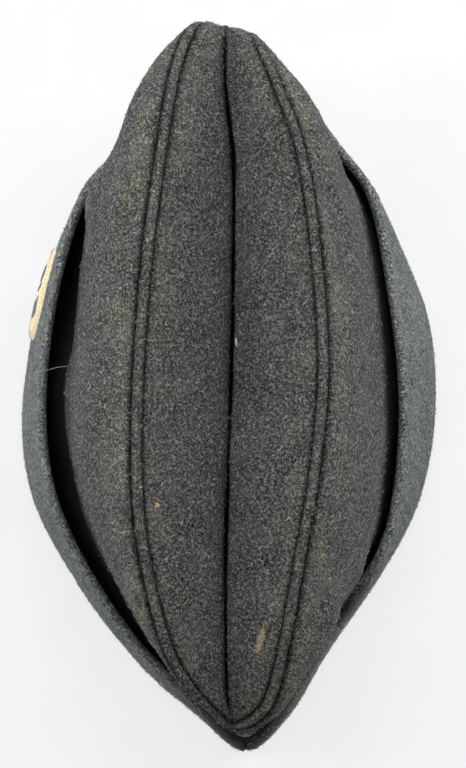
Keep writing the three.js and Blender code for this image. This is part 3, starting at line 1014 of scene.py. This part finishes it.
# Melton's pattern. Its strands and pits are drawn some tenths of a millimetre wide, and real fibres are
# about 0.02 mm, so that they show at the photograph's size.
WIDE_STRANDS = {"size": 1.3, "width": 0.07}
FINE_STRANDS = {"size": 0.8, "width": 0.08}
FINE_SHARE = 0.8  # of the wide strands' brightness
CURL_SIZE = 2.2
CURL_REACH = 3.0  # how far a wide strand is led aside
PIT_SIZE = 0.85
STRAND_SHARE = 0.22
PIT_SHARE = 0.86
TONE_STEPS = (0.375, 0.47, 0.55, 0.70)  # where the mixed pattern is dark, the cloth's own colour, and pale
MOTTLE = {"size": 13.0, "low": 0.32, "high": 0.70, "share": 0.14}
WORN_PATCHES = {"size": 9.0, "low": 0.40, "high": 0.62, "share": 0.7}
SHADE_SHARE = 0.97  # how much of its colour cloth loses under the deepest painted shade
DEEP_SHADE = "030303"
RELIEF = 0.6  # of the strands and pits

# Marks on the cloth, as place and half-sizes in millimetres, turn in degrees, colour and strength.
MARKS = (
    {"at": (9.9, -84.7, 90.0), "half": (1.1, 5.4, 12.0), "turn": 16, "colour": "9c8c70", "strength": 0.85},
    {"at": (25.3, -99.0, 41.0), "half": (2.0, 2.4, 3.6), "turn": 0, "colour": "7a5528", "strength": 0.9},
    {"at": (-27.7, -36.7, 105.9), "half": (0.5, 0.6, 5.0), "turn": 0, "colour": "b8b19a", "strength": 0.9},
    {"at": (-22.7, -42.1, 101.8), "half": (0.75, 0.8, 5.0), "turn": 0, "colour": "c9a878", "strength": 0.95},
)
MARK_RAGS = {"size": 1.3, "depth": 3.2, "inside": 2.25, "outside": 2.75}  # the ragged edge of a mark
MARK_SHOWS = (-0.8, 0.6)  # the strands between which a mark comes to cover them


def strand_lines(node, place, size, width):
    """Curled strands along the level lines of noise: 1 on a strand and 0 beside it."""
    level = node("ShaderNodeTexNoise", {"Vector": place, "Scale": 1 / (size * MM), "Detail": 1.0})
    middle = node("ShaderNodeMath", {0: level, 1: 0.5}, operation="SUBTRACT")
    apart = node("ShaderNodeMath", {0: middle}, operation="ABSOLUTE")
    return node(
        "ShaderNodeMapRange", {"Value": apart, "From Min": width, "From Max": 0.0}, clamp=True)


def wool_pattern(node, place):
    """The pattern of strands over pits, and the strands alone."""
    curl = node(
        "ShaderNodeTexNoise", {"Vector": place, "Scale": 1 / (CURL_SIZE * MM), "Detail": 1.0},
        output="Color",
    )
    bent = node(
        "ShaderNodeVectorMath", {0: curl, 1: (CURL_REACH * MM,) * 3, 2: place},
        operation="MULTIPLY_ADD",
    )
    wide = strand_lines(node, bent, **WIDE_STRANDS)
    fine = strand_lines(node, place, **FINE_STRANDS)
    fainter = node("ShaderNodeMath", {0: fine, 1: FINE_SHARE}, operation="MULTIPLY")
    strands = node("ShaderNodeMath", {0: wide, 1: fainter}, operation="MAXIMUM")
    pits = node(
        "ShaderNodeTexNoise",
        {"Vector": place, "Scale": 1 / (PIT_SIZE * MM), "Detail": 2.0, "Roughness": 0.65},
    )
    raised = node("ShaderNodeMath", {0: strands, 1: STRAND_SHARE}, operation="MULTIPLY")
    pitted = node("ShaderNodeMath", {0: pits, 1: PIT_SHARE}, operation="MULTIPLY")
    return node("ShaderNodeMath", {0: raised, 1: pitted}, operation="ADD"), strands, pits


def patches(node, place, size, low, high, roughness):
    """Soft patches about that many millimetres across: 1 in a patch and 0 between them."""
    cloud = node(
        "ShaderNodeTexNoise",
        {"Vector": place, "Scale": 1 / (size * MM), "Detail": 3.0, "Roughness": roughness},
    )
    return node("ShaderNodeMapRange", {"Value": cloud, "From Min": low, "From Max": high}, clamp=True)


def marked(node, place, strands, cloth, at, half, turn, colour, strength):
    """The cloth's colour with one ragged mark on it, through which the dark between strands shows."""
    local = node("ShaderNodeVectorMath", {0: place, 1: tuple(c * MM for c in at)}, operation="SUBTRACT")
    turned = node(
        "ShaderNodeVectorRotate", {"Vector": local, "Angle": math.radians(turn)},
        rotation_type="Z_AXIS",
    )
    scale = tuple(1 / (h * MM) for h in half)
    scaled = node("ShaderNodeVectorMath", {0: turned, 1: scale}, operation="MULTIPLY")
    away = node("ShaderNodeVectorMath", {0: scaled}, output="Value", operation="LENGTH")
    torn = node(
        "ShaderNodeTexNoise",
        {"Vector": place, "Scale": 1 / (MARK_RAGS["size"] * MM), "Detail": 3.0, "Roughness": 0.7},
    )
    rags = node("ShaderNodeMath", {0: torn, 1: MARK_RAGS["depth"]}, operation="MULTIPLY")
    ragged = node("ShaderNodeMath", {0: away, 1: rags}, operation="ADD")
    inside = node(
        "ShaderNodeMapRange",
        {"Value": ragged, "From Min": MARK_RAGS["outside"], "From Max": MARK_RAGS["inside"]}, clamp=True,
    )
    amount = node("ShaderNodeMath", {0: inside, 1: strength}, operation="MULTIPLY")
    covered = node(
        "ShaderNodeMapRange",
        {"Value": strands, "From Min": MARK_SHOWS[0], "From Max": MARK_SHOWS[1]}, clamp=True,
    )
    seen = node("ShaderNodeMath", {0: amount, 1: covered}, operation="MULTIPLY")
    return node(
        "ShaderNodeMix", {FACTOR: seen, FIRST: cloth, SECOND: linear(colour)}, MIXED, data_type="RGBA")


def wool_material(name, base, dark, pale, warm):
    """Melton: a woollen cloth, milled until its weave is closed and raised to a short nap.

    The eye sees no weave. It sees a dense net of curled pale fibres over dark ones, and a soft light edge
    where the nap is seen from the side. Seams, pockets, the insert's fold and the flaps under the crown's
    rear are painted darker as shade, and ridges are rubbed to a warmer tone. The same warm tone is painted
    along the crown's edge over the rear of the flap as a highlight.
    """
    material, node = new_material(name)
    place = node("ShaderNodeTexCoord", output="Object")
    pattern, strands, pits = wool_pattern(node, place)
    tones = tuple(zip(TONE_STEPS, (dark, base, base, pale)))
    cloth = node("ShaderNodeValToRGB", {"Fac": pattern}, stops=tones)

    def tinted(cloth, share, factor, colour):
        """The cloth's colour with a share of another one where the factor is 1."""
        amount = node("ShaderNodeMath", {0: factor, 1: share}, operation="MULTIPLY")
        return node(
            "ShaderNodeMix", {FACTOR: amount, FIRST: cloth, SECOND: colour}, MIXED, data_type="RGBA")

    mottle = patches(node, place, MOTTLE["size"], MOTTLE["low"], MOTTLE["high"], 0.55)
    cloth = tinted(cloth, MOTTLE["share"], mottle, pale)
    # Real rubbing on ridges, and a painted highlight along the crown's edge over the rear of the flap, both
    # tint the strands to the warm tone.
    worn_and_highlit = node("ShaderNodeAttribute", output="Fac", attribute_name="wear")
    rubbed_off = patches(node, place, WORN_PATCHES["size"], WORN_PATCHES["low"], WORN_PATCHES["high"], 0.6)
    on_strands = node("ShaderNodeMath", {0: rubbed_off, 1: strands}, operation="MULTIPLY")
    bare = node("ShaderNodeMath", {0: on_strands, 1: worn_and_highlit}, operation="MULTIPLY")
    cloth = tinted(cloth, WORN_PATCHES["share"], bare, warm)
    # Painted shade: darkens grooves, pockets, the insert's fold, and the flaps under the crown's rear and at
    # the floor.
    shade = node("ShaderNodeAttribute", output="Fac", attribute_name="crevice")
    cloth = tinted(cloth, SHADE_SHARE, shade, linear(DEEP_SHADE))
    for mark in MARKS:
        cloth = marked(node, place, strands, cloth, **mark)
    soft = node("ShaderNodeMath", {0: strands, 1: 0.5}, operation="MULTIPLY")
    relief = node("ShaderNodeMath", {0: soft, 1: pits}, operation="ADD")
    bump = node("ShaderNodeBump", {"Height": relief, "Strength": 0.9, "Distance": RELIEF * MM})
    shader = node("ShaderNodeBsdfPrincipled", {
        "Base Color": cloth, "Roughness": 0.95, "IOR": 1.45, "Specular IOR Level": 0.05,
        "Sheen Weight": 0.07, "Sheen Roughness": 0.4, "Sheen Tint": linear("b4b8b6"), "Normal": bump})
    node("ShaderNodeOutputMaterial", {"Surface": shader})
    return material


# The finishes of felt, fibre and thread, as their second colour, the size of their grain in millimetres
# and their roughness. Each is a fine tangle of fibres, so the eye sees two mixed tones and no shine.
PLAIN_FINISHES = {
    "waxed_cotton_thread": ("1b1b1c", 0.4, 0.8),
    "pressed_felt": ("b9a986", 1.2, 0.95),
    "dark_felt": ("4a4540", 0.9, 0.95),
    "cotton_floss": ("c9ba9c", 0.5, 0.8),
    "loose_wool_fibre": ("8e918e", 1.0, 0.9),
    "stray_cotton_lint": ("b7b4a8", 0.6, 0.9),
}


def plain_material(name, colour, tone_by=None):
    """Felt, fibre or thread of two mixed tones, mixed by noise or by an attribute of the piece."""
    second, size, roughness = PLAIN_FINISHES[name]
    material, node = new_material(name)
    place = node("ShaderNodeTexCoord", output="Object")
    grain = node(
        "ShaderNodeTexNoise",
        {"Vector": place, "Scale": 1 / (size * MM), "Detail": 3.0, "Roughness": 0.6},
    )
    tone = node("ShaderNodeAttribute", output="Fac", attribute_name=tone_by) if tone_by else grain
    mixed = node("ShaderNodeValToRGB", {"Fac": tone}, stops=((0.36, colour), (0.66, linear(second))))
    bump = node("ShaderNodeBump", {"Height": grain, "Strength": 0.5, "Distance": 0.3 * MM})
    shader = node("ShaderNodeBsdfPrincipled", {
        "Base Color": mixed, "Roughness": roughness, "IOR": 1.45, "Specular IOR Level": 0.25,
        "Sheen Weight": 0.2, "Sheen Roughness": 0.5, "Normal": bump})
    node("ShaderNodeOutputMaterial", {"Surface": shader})
    return material


GLOW_SPREAD = (0.35, 1.6)  # metres from the cap between which the paper glows brighter
GLOW = ("dddddd", "fcfcfc")


def paper_material():
    """Pale matt paper lit from below as on a light table, so a shadow on it stays pale."""
    material, node = new_material("pale_paper")
    place = node("ShaderNodeTexCoord", output="Object")
    cloud = node(
        "ShaderNodeTexNoise", {"Vector": place, "Scale": 1 / (30 * MM), "Detail": 3.0, "Roughness": 0.6})
    tone = node(
        "ShaderNodeValToRGB", {"Fac": cloud}, stops=((0.38, linear("696969")), (0.64, linear("6d6d6d"))))
    away = node("ShaderNodeVectorMath", {0: place}, output="Value", operation="LENGTH")
    far = node(
        "ShaderNodeMapRange", {"Value": away, "From Min": GLOW_SPREAD[0], "From Max": GLOW_SPREAD[1]},
        clamp=True,
    )
    glow = node(
        "ShaderNodeValToRGB", {"Fac": far}, stops=((0.0, linear(GLOW[0])), (1.0, linear(GLOW[1]))))
    shader = node("ShaderNodeBsdfPrincipled", {
        "Base Color": tone, "Roughness": 0.9, "Specular IOR Level": 0.1, "Emission Color": glow,
        "Emission Strength": 1.0})
    node("ShaderNodeOutputMaterial", {"Surface": shader})
    return material


# The badge's three plain bars, as name, place along the badge and width.
BADGE_BARS = (
    ("badge_bar_front", -6.3, 5.0), ("badge_bar_middle", -1.3, 1.5), ("badge_bar_rear", 5.9, 6.8),
)
BADGE_BAR_MIDDLE = 0.0
BADGE_BAR_HEIGHT = 14.0
BAR_SUNK = 0.2  # of a bar's foot into the badge's felt
BADGE_SEED = 71
BAR_SEED = 73
OVAL_STEPS = 181
STITCH_LEVEL = 0.74  # height of the badge's stitches, as a share of its felt's thickness
SEAM_STITCH = {"Thickness": 0.4 * MM, "Wander": (0.12, 0.12, 0.0), "Seed": 3}
BADGE_STITCH = {
    "Pitch": 1.6 * MM, "Length": 1.5 * MM, "Thickness": 0.32 * MM, "Wander": (0.1, 0.1, 0.0), "Seed": 5,
}

NAPPED = (
    ("crown_side_left", "crown_wool"), ("crown_side_right", "crown_wool"), ("crown_insert", "crown_wool"),
    ("flap_left", "flap_wool"), ("flap_right", "flap_wool"),
)

# Threads and lint that lie on the cap, as name, thickness and points.
STRAYS = (
    ("stray_hair", 0.09, (
        (-65.9, 4.9, 60.0), (-64.3, 5.2, 64.6), (-61.5, 5.5, 65.4), (-57.5, 6.4, 67.3),
        (-54.4, 6.6, 68.6), (-52.3, 7.3, 68.6),
    )),
    ("curled_hair", 0.09, (
        (-17.9, 47.6, 102.5), (-18.8, 46.0, 103.1), (-19.1, 44.3, 103.2), (-18.1, 42.6, 102.7),
    )),
    ("short_hair_left", 0.08, ((-12.9, -23.2, 96.7), (-12.5, -24.8, 96.6), (-12.5, -26.6, 96.1))),
    ("short_hair_rear", 0.08, ((-5.5, -37.2, 90.0), (-5.3, -39.0, 89.8), (-4.6, -41.6, 89.1))),
    ("lint_in_fold", 0.7, ((2.1, 13.4, 87.3), (2.35, 12.1, 87.5), (2.5, 10.7, 87.4))),
)


# Settings a user would change


def length(name, description, default, low, high):
    """A length that a user may change, given in millimetres and kept in metres."""
    return bpy.props.FloatProperty(
        name=name, description=description, default=default * MM, min=low * MM, max=high * MM,
        unit="LENGTH", precision=5)


def colour(name, description, hex_colour):
    """A colour that a user may change, given as sRGB hex."""
    return bpy.props.FloatVectorProperty(
        name=name, description=description, default=linear(hex_colour), size=4, min=0.0, max=1.0,
        subtype="COLOR")


class CapSizes(bpy.types.PropertyGroup):
    """The cap's sizes"""
    crown_cloth: length("Crown cloth", "Thickness of a crown panel", 2.0, 1.0, 3.0)
    flap_cloth: length("Flap cloth", "Thickness of the doubled flap", 3.0, 2.0, 4.0)
    lap: length("Lap", "Half of the lapped seam's width", 2.2, 1.5, 4.0)
    fold_depth: length("Fold depth", "Depth of the slit along the insert", 7.5, 2.0, 12.0)
    insert_puff: length("Insert puff", "How far each half of the insert swells", 0.9, 0.0, 3.0)
    nose_puff: length("Nose puff", "How far the insert stands out at the crown's nose", 0.45, 0.0, 3.0)
    stitch_pitch: length("Stitch pitch", "From one seam stitch to the next", 2.5, 1.5, 5.0)
    stitch_length: length("Stitch length", "Length of one seam stitch", 2.0, 1.0, 4.0)
    badge_length: length("Badge length", "Length of the oval badge", 33.5, 20.0, 50.0)
    badge_height: length("Badge height", "Height of the oval badge", 30.0, 15.0, 40.0)
    badge_felt: length("Badge felt", "Thickness of the badge at its middle", 2.0, 1.0, 3.0)
    nap_length: length("Nap length", "Mean length of a loose fibre", 1.05, 0.5, 5.0)
    nap_thickness: length("Nap thickness", "Thickness of a loose fibre", 0.1, 0.03, 0.4)
    nap_count: bpy.props.IntProperty(
        name="Nap count", description="Loose fibres on each piece of cloth", default=8500, min=0, max=9000)


class CapLook(bpy.types.PropertyGroup):
    """The cap's colours"""
    wool_dark: colour("Dark fibres", "The darkest fibres of the wool", "0f1012")
    wool_base: colour("Cloth", "The crown's cloth between its dark and pale fibres", "373938")
    wool_pale: colour("Pale fibres", "The palest fibres of the crown", "7f827f")
    # The warm tone of rubbed fibres is also painted along the crown's edge over the rear of the flap, as a
    # highlight.
    wool_warm: colour("Worn fibres", "Fibres where the cloth is rubbed", "8f8c70")
    # The flaps' colours are the crown's cloth painted lighter, as painted light for the light that their nap
    # catches from the side.
    flap_base: colour("Flap cloth", "The flaps' cloth between its dark and pale fibres", "4e5253")
    flap_pale: colour("Flap's pale fibres", "The palest fibres of the flaps", "9da1a1")
    thread: colour("Seam thread", "The stitches of the seams", "0c0c0d")
    felt: colour("Badge felt", "The badge's oval", "cbbba0")
    bars: colour("Badge bars", "The badge's bars", "2b2826")


def settings_of(group):
    """The values of a property group by name, with lengths in millimetres."""
    values = {}
    for name in type(group).__annotations__:
        value = getattr(group, name)
        if isinstance(value, float):
            value = round(value / MM, 6)
        elif not isinstance(value, int):
            value = tuple(value)
        values[name] = value
    return SimpleNamespace(**values)


class CAP_OT_crown(bpy.types.Operator):
    """Build the crown's side panels and its folded insert"""
    bl_idname = "cap.crown"
    bl_label = "Crown"

    def execute(self, context):
        sizes = settings_of(context.scene.cap_sizes)
        look = settings_of(context.scene.cap_look)
        wool = wool_material(
            "crown_melton_wool", look.wool_base, look.wool_dark, look.wool_pale, look.wool_warm)
        lines = []
        for side in SIDES:
            mesh, line = crown_side_mesh(side, sizes)
            add_piece(f"crown_side_{side}_cloth", mesh, wool, [f"crown_side_{side}"])
            lines.append(line)
        mesh, edges = crown_insert_mesh(sizes)
        add_piece("crown_insert_cloth", mesh, wool, ["crown_insert"])
        first, last = STITCHED
        lines = [line[round(len(line) * first):round(len(line) * last)] for line in lines + edges]
        lays = [unit(np.gradient(line, axis=0)) for line in lines]
        thread = plain_material("waxed_cotton_thread", look.thread)
        stitches = grown_mesh("seam_stitches", line_mesh(lines, lays), stitch_tree(), {
            "Pitch": sizes.stitch_pitch * MM, "Length": sizes.stitch_length * MM, **SEAM_STITCH,
            "Thread": thread})
        add_piece("seam_stitches", stitches, thread)
        return {"FINISHED"}


class CAP_OT_flaps(bpy.types.Operator):
    """Build the flaps turned up round the crown"""
    bl_idname = "cap.flaps"
    bl_label = "Flaps"

    def execute(self, context):
        sizes = settings_of(context.scene.cap_sizes)
        look = settings_of(context.scene.cap_look)
        # A lighter copy of the crown's wool: painted light on the flaps.
        wool = wool_material(
            "flap_melton_wool", look.flap_base, look.wool_dark, look.flap_pale, look.wool_warm)
        for side in SIDES:
            add_piece(f"flap_{side}_cloth", flap_mesh(side, sizes), wool, [f"flap_{side}"])
        return {"FINISHED"}


def oval_line(size, share, height):
    """A line round the badge, at a share of the way from its middle to its edge."""
    angle = np.linspace(0, 2 * math.pi, OVAL_STEPS)
    a = np.cos(angle) * size[0] / 2 * share
    b = np.sin(angle) * size[1] / 2 * share
    return badge_place(a, b, np.full(OVAL_STEPS, height))


class CAP_OT_badge(bpy.types.Operator):
    """Sew the oval felt badge to the left flap"""
    bl_idname = "cap.badge"
    bl_label = "Badge"

    def execute(self, context):
        sizes = settings_of(context.scene.cap_sizes)
        look = settings_of(context.scene.cap_look)
        size = (sizes.badge_length, sizes.badge_height)
        felt = plain_material("pressed_felt", look.felt)
        oval = patch_mesh("badge_felt_oval", (0, 0), size, BADGE_FOOT, sizes.badge_felt, False, BADGE_SEED)
        add_piece("badge_felt_oval", oval, felt, ["badge_patch"])
        bars_felt = plain_material("dark_felt", look.bars)
        foot = BADGE_FOOT + sizes.badge_felt - BAR_SUNK
        for name, along, width in BADGE_BARS:
            bar_size = (width, BADGE_BAR_HEIGHT)
            bar = patch_mesh(name, (along, BADGE_BAR_MIDDLE), bar_size, foot, BAR_RISE, True, BAR_SEED)
            add_piece(name, bar, bars_felt)
        line = oval_line(size, BADGE_EDGE, sizes.badge_felt * STITCH_LEVEL)
        outwards = oval_line(size, 1.0, sizes.badge_felt * 0.5) - oval_line(size, 0.88, sizes.badge_felt)
        thread = plain_material("cotton_floss", linear("b3a285"))
        stitches = grown_mesh(
            "badge_stitches", line_mesh([line], [unit(outwards)]), stitch_tree(),
            {**BADGE_STITCH, "Thread": thread})
        add_piece("badge_stitches", stitches, thread)
        return {"FINISHED"}


class CAP_OT_nap(bpy.types.Operator):
    """Raise loose fibres on the cloth and lay a few stray threads on it"""
    bl_idname = "cap.nap"
    bl_label = "Nap"

    def execute(self, context):
        sizes = settings_of(context.scene.cap_sizes)
        fibre = plain_material("loose_wool_fibre", linear("3b3d3c"), tone_by="tone")
        tree = nap_tree()
        for seed, (name, slot) in enumerate(NAPPED):
            cloth = bpy.data.objects[f"{name}_cloth"].data
            nap = grown_mesh(f"{name}_nap", cloth, tree, {
                "Density": sizes.nap_count / shown_area(cloth), "Length": sizes.nap_length * MM,
                "Thickness": sizes.nap_thickness * MM, "Seed": seed, "Fibre": fibre})
            add_piece(f"{name}_nap", nap, fibre)
        lint = plain_material("stray_cotton_lint", linear("a19e93"))
        for name, thickness, points in STRAYS:
            add_piece(name, strand_mesh(name, points, thickness), lint)
        return {"FINISHED"}


class CAP_OT_stage(bpy.types.Operator):
    """Set the floor, lights and camera"""
    bl_idname = "cap.stage"
    bl_label = "Stage"

    def execute(self, context):
        scene = context.scene
        mesh = bpy.data.meshes.new("floor")
        corners = [(x * FLOOR_HALF, y * FLOOR_HALF, 0) for x, y in ((-1, -1), (1, -1), (1, 1), (-1, 1))]
        mesh.from_pydata(corners, [], [(0, 1, 2, 3)])
        mesh.materials.append(paper_material())
        floor = bpy.data.objects.new("floor", mesh)
        scene.collection.objects.link(floor)
        add_camera(scene)
        add_lamps(scene)
        add_world(scene)
        scene.view_settings.view_transform = "Standard"
        return {"FINISHED"}


FLOOR_HALF = 3.0  # metres from the middle of the floor to its edge

# The photograph's frame and the camera that was fitted to it.
FRAME_PX = (466, 768)
TARGET = (1.0, 0.3, 50.0)  # a point that the camera was fitted round
TARGET_PX = (232, 392)
BACK_TILT = math.radians(7)  # of the camera behind the vertical, towards the rear of the cap
CAMERA_AWAY = 800.0
LENS_PX = 2350.0  # focal length in pixels of the photograph
SENSOR = 36.0

# The lamps, all aimed at one place. Places and sizes are in metres.
LAMP_AIM = (0, 0, 0.05)
LAMPS = {
    "top_softbox": {"at": (0.0, 0.25, 1.7), "size": (1.6, 1.4), "watts": 18},
    "front_softbox": {"at": (0.0, 1.2, 1.0), "size": (1.4, 0.8), "watts": 11.5},
    "left_softbox": {"at": (-1.3, 0.3, 0.45), "size": (0.8, 1.3), "watts": 26.5},
    "right_softbox": {"at": (1.15, 0.6, 0.5), "size": (0.8, 1.3), "watts": 22.5},
}


def add_camera(scene):
    """The camera that was fitted to the photograph."""
    data = bpy.data.cameras.new("camera")
    data.sensor_width = SENSOR
    data.lens = LENS_PX * SENSOR / max(FRAME_PX)
    data.shift_x = (FRAME_PX[0] / 2 - TARGET_PX[0]) / max(FRAME_PX)
    data.shift_y = (TARGET_PX[1] - FRAME_PX[1] / 2) / max(FRAME_PX)
    data.clip_start = 0.05
    camera = bpy.data.objects.new("camera", data)
    scene.collection.objects.link(camera)
    back = Vector((0, -math.sin(BACK_TILT), math.cos(BACK_TILT)))
    camera.location = (Vector(TARGET) + back * CAMERA_AWAY) * MM
    camera.rotation_euler = (BACK_TILT, 0, 0)
    scene.camera = camera


def add_lamps(scene):
    """The softboxes round the cap."""
    for name, lamp in LAMPS.items():
        data = bpy.data.lights.new(name, "AREA")
        data.shape = "RECTANGLE"
        data.size, data.size_y = lamp["size"]
        data.energy = lamp["watts"]
        light = bpy.data.objects.new(name, data)
        light.location = lamp["at"]
        aim = Vector(LAMP_AIM) - Vector(lamp["at"])
        light.rotation_euler = aim.to_track_quat("-Z", "Y").to_euler()
        scene.collection.objects.link(light)


def add_world(scene):
    """A studio that is bright in front of the cap and dim behind it, with a white wall for the camera."""
    world = bpy.data.worlds.new("studio")
    world.use_nodes = True
    tree = world.node_tree
    node = partial(add_node, tree)
    way = node("ShaderNodeTexCoord", output="Generated")
    ahead = node("ShaderNodeSeparateXYZ", {"Vector": way}, output="Y")
    front = node("ShaderNodeMapRange", {"Value": ahead, "From Min": -0.5, "From Max": 0.6}, clamp=True)
    sky = node(
        "ShaderNodeValToRGB", {"Fac": front}, stops=((0.0, linear("30302f")), (1.0, linear("f2f5f8"))))
    light = node("ShaderNodeBackground", {"Color": sky, "Strength": 0.5})
    wall = node("ShaderNodeBackground", {"Color": linear("ffffff"), "Strength": 1.0})
    seen = node("ShaderNodeLightPath", output="Is Camera Ray")
    both = node("ShaderNodeMixShader", {"Fac": seen, 1: light, 2: wall})
    tree.links.new(both, tree.nodes["World Output"].inputs["Surface"])
    scene.world = world


class CAP_PT_panel(bpy.types.Panel):
    """Builds the cap's pieces one by one"""
    bl_idname = "CAP_PT_panel"
    bl_label = "Garrison cap"
    bl_space_type = "VIEW_3D"
    bl_region_type = "UI"
    bl_category = "Cap"

    def draw(self, context):
        layout = self.layout
        for settings in (context.scene.cap_sizes, context.scene.cap_look):
            for name in settings.__annotations__:
                layout.prop(settings, name)
        for operator in BUILD_ORDER:
            layout.operator(operator.bl_idname)


BUILD_ORDER = (CAP_OT_crown, CAP_OT_flaps, CAP_OT_badge, CAP_OT_nap, CAP_OT_stage)
CLASSES = (CapSizes, CapLook, *BUILD_ORDER, CAP_PT_panel)


def register():
    for cls in CLASSES:
        bpy.utils.register_class(cls)
    bpy.types.Scene.cap_sizes = bpy.props.PointerProperty(type=CapSizes)
    bpy.types.Scene.cap_look = bpy.props.PointerProperty(type=CapLook)


def unregister():
    del bpy.types.Scene.cap_look
    del bpy.types.Scene.cap_sizes
    for cls in reversed(CLASSES):
        bpy.utils.unregister_class(cls)


def main():
    register()
    bpy.ops.cap.crown()
    bpy.ops.cap.flaps()
    bpy.ops.cap.badge()
    bpy.ops.cap.nap()
    bpy.ops.cap.stage()


if __name__ == "__main__":
    main()
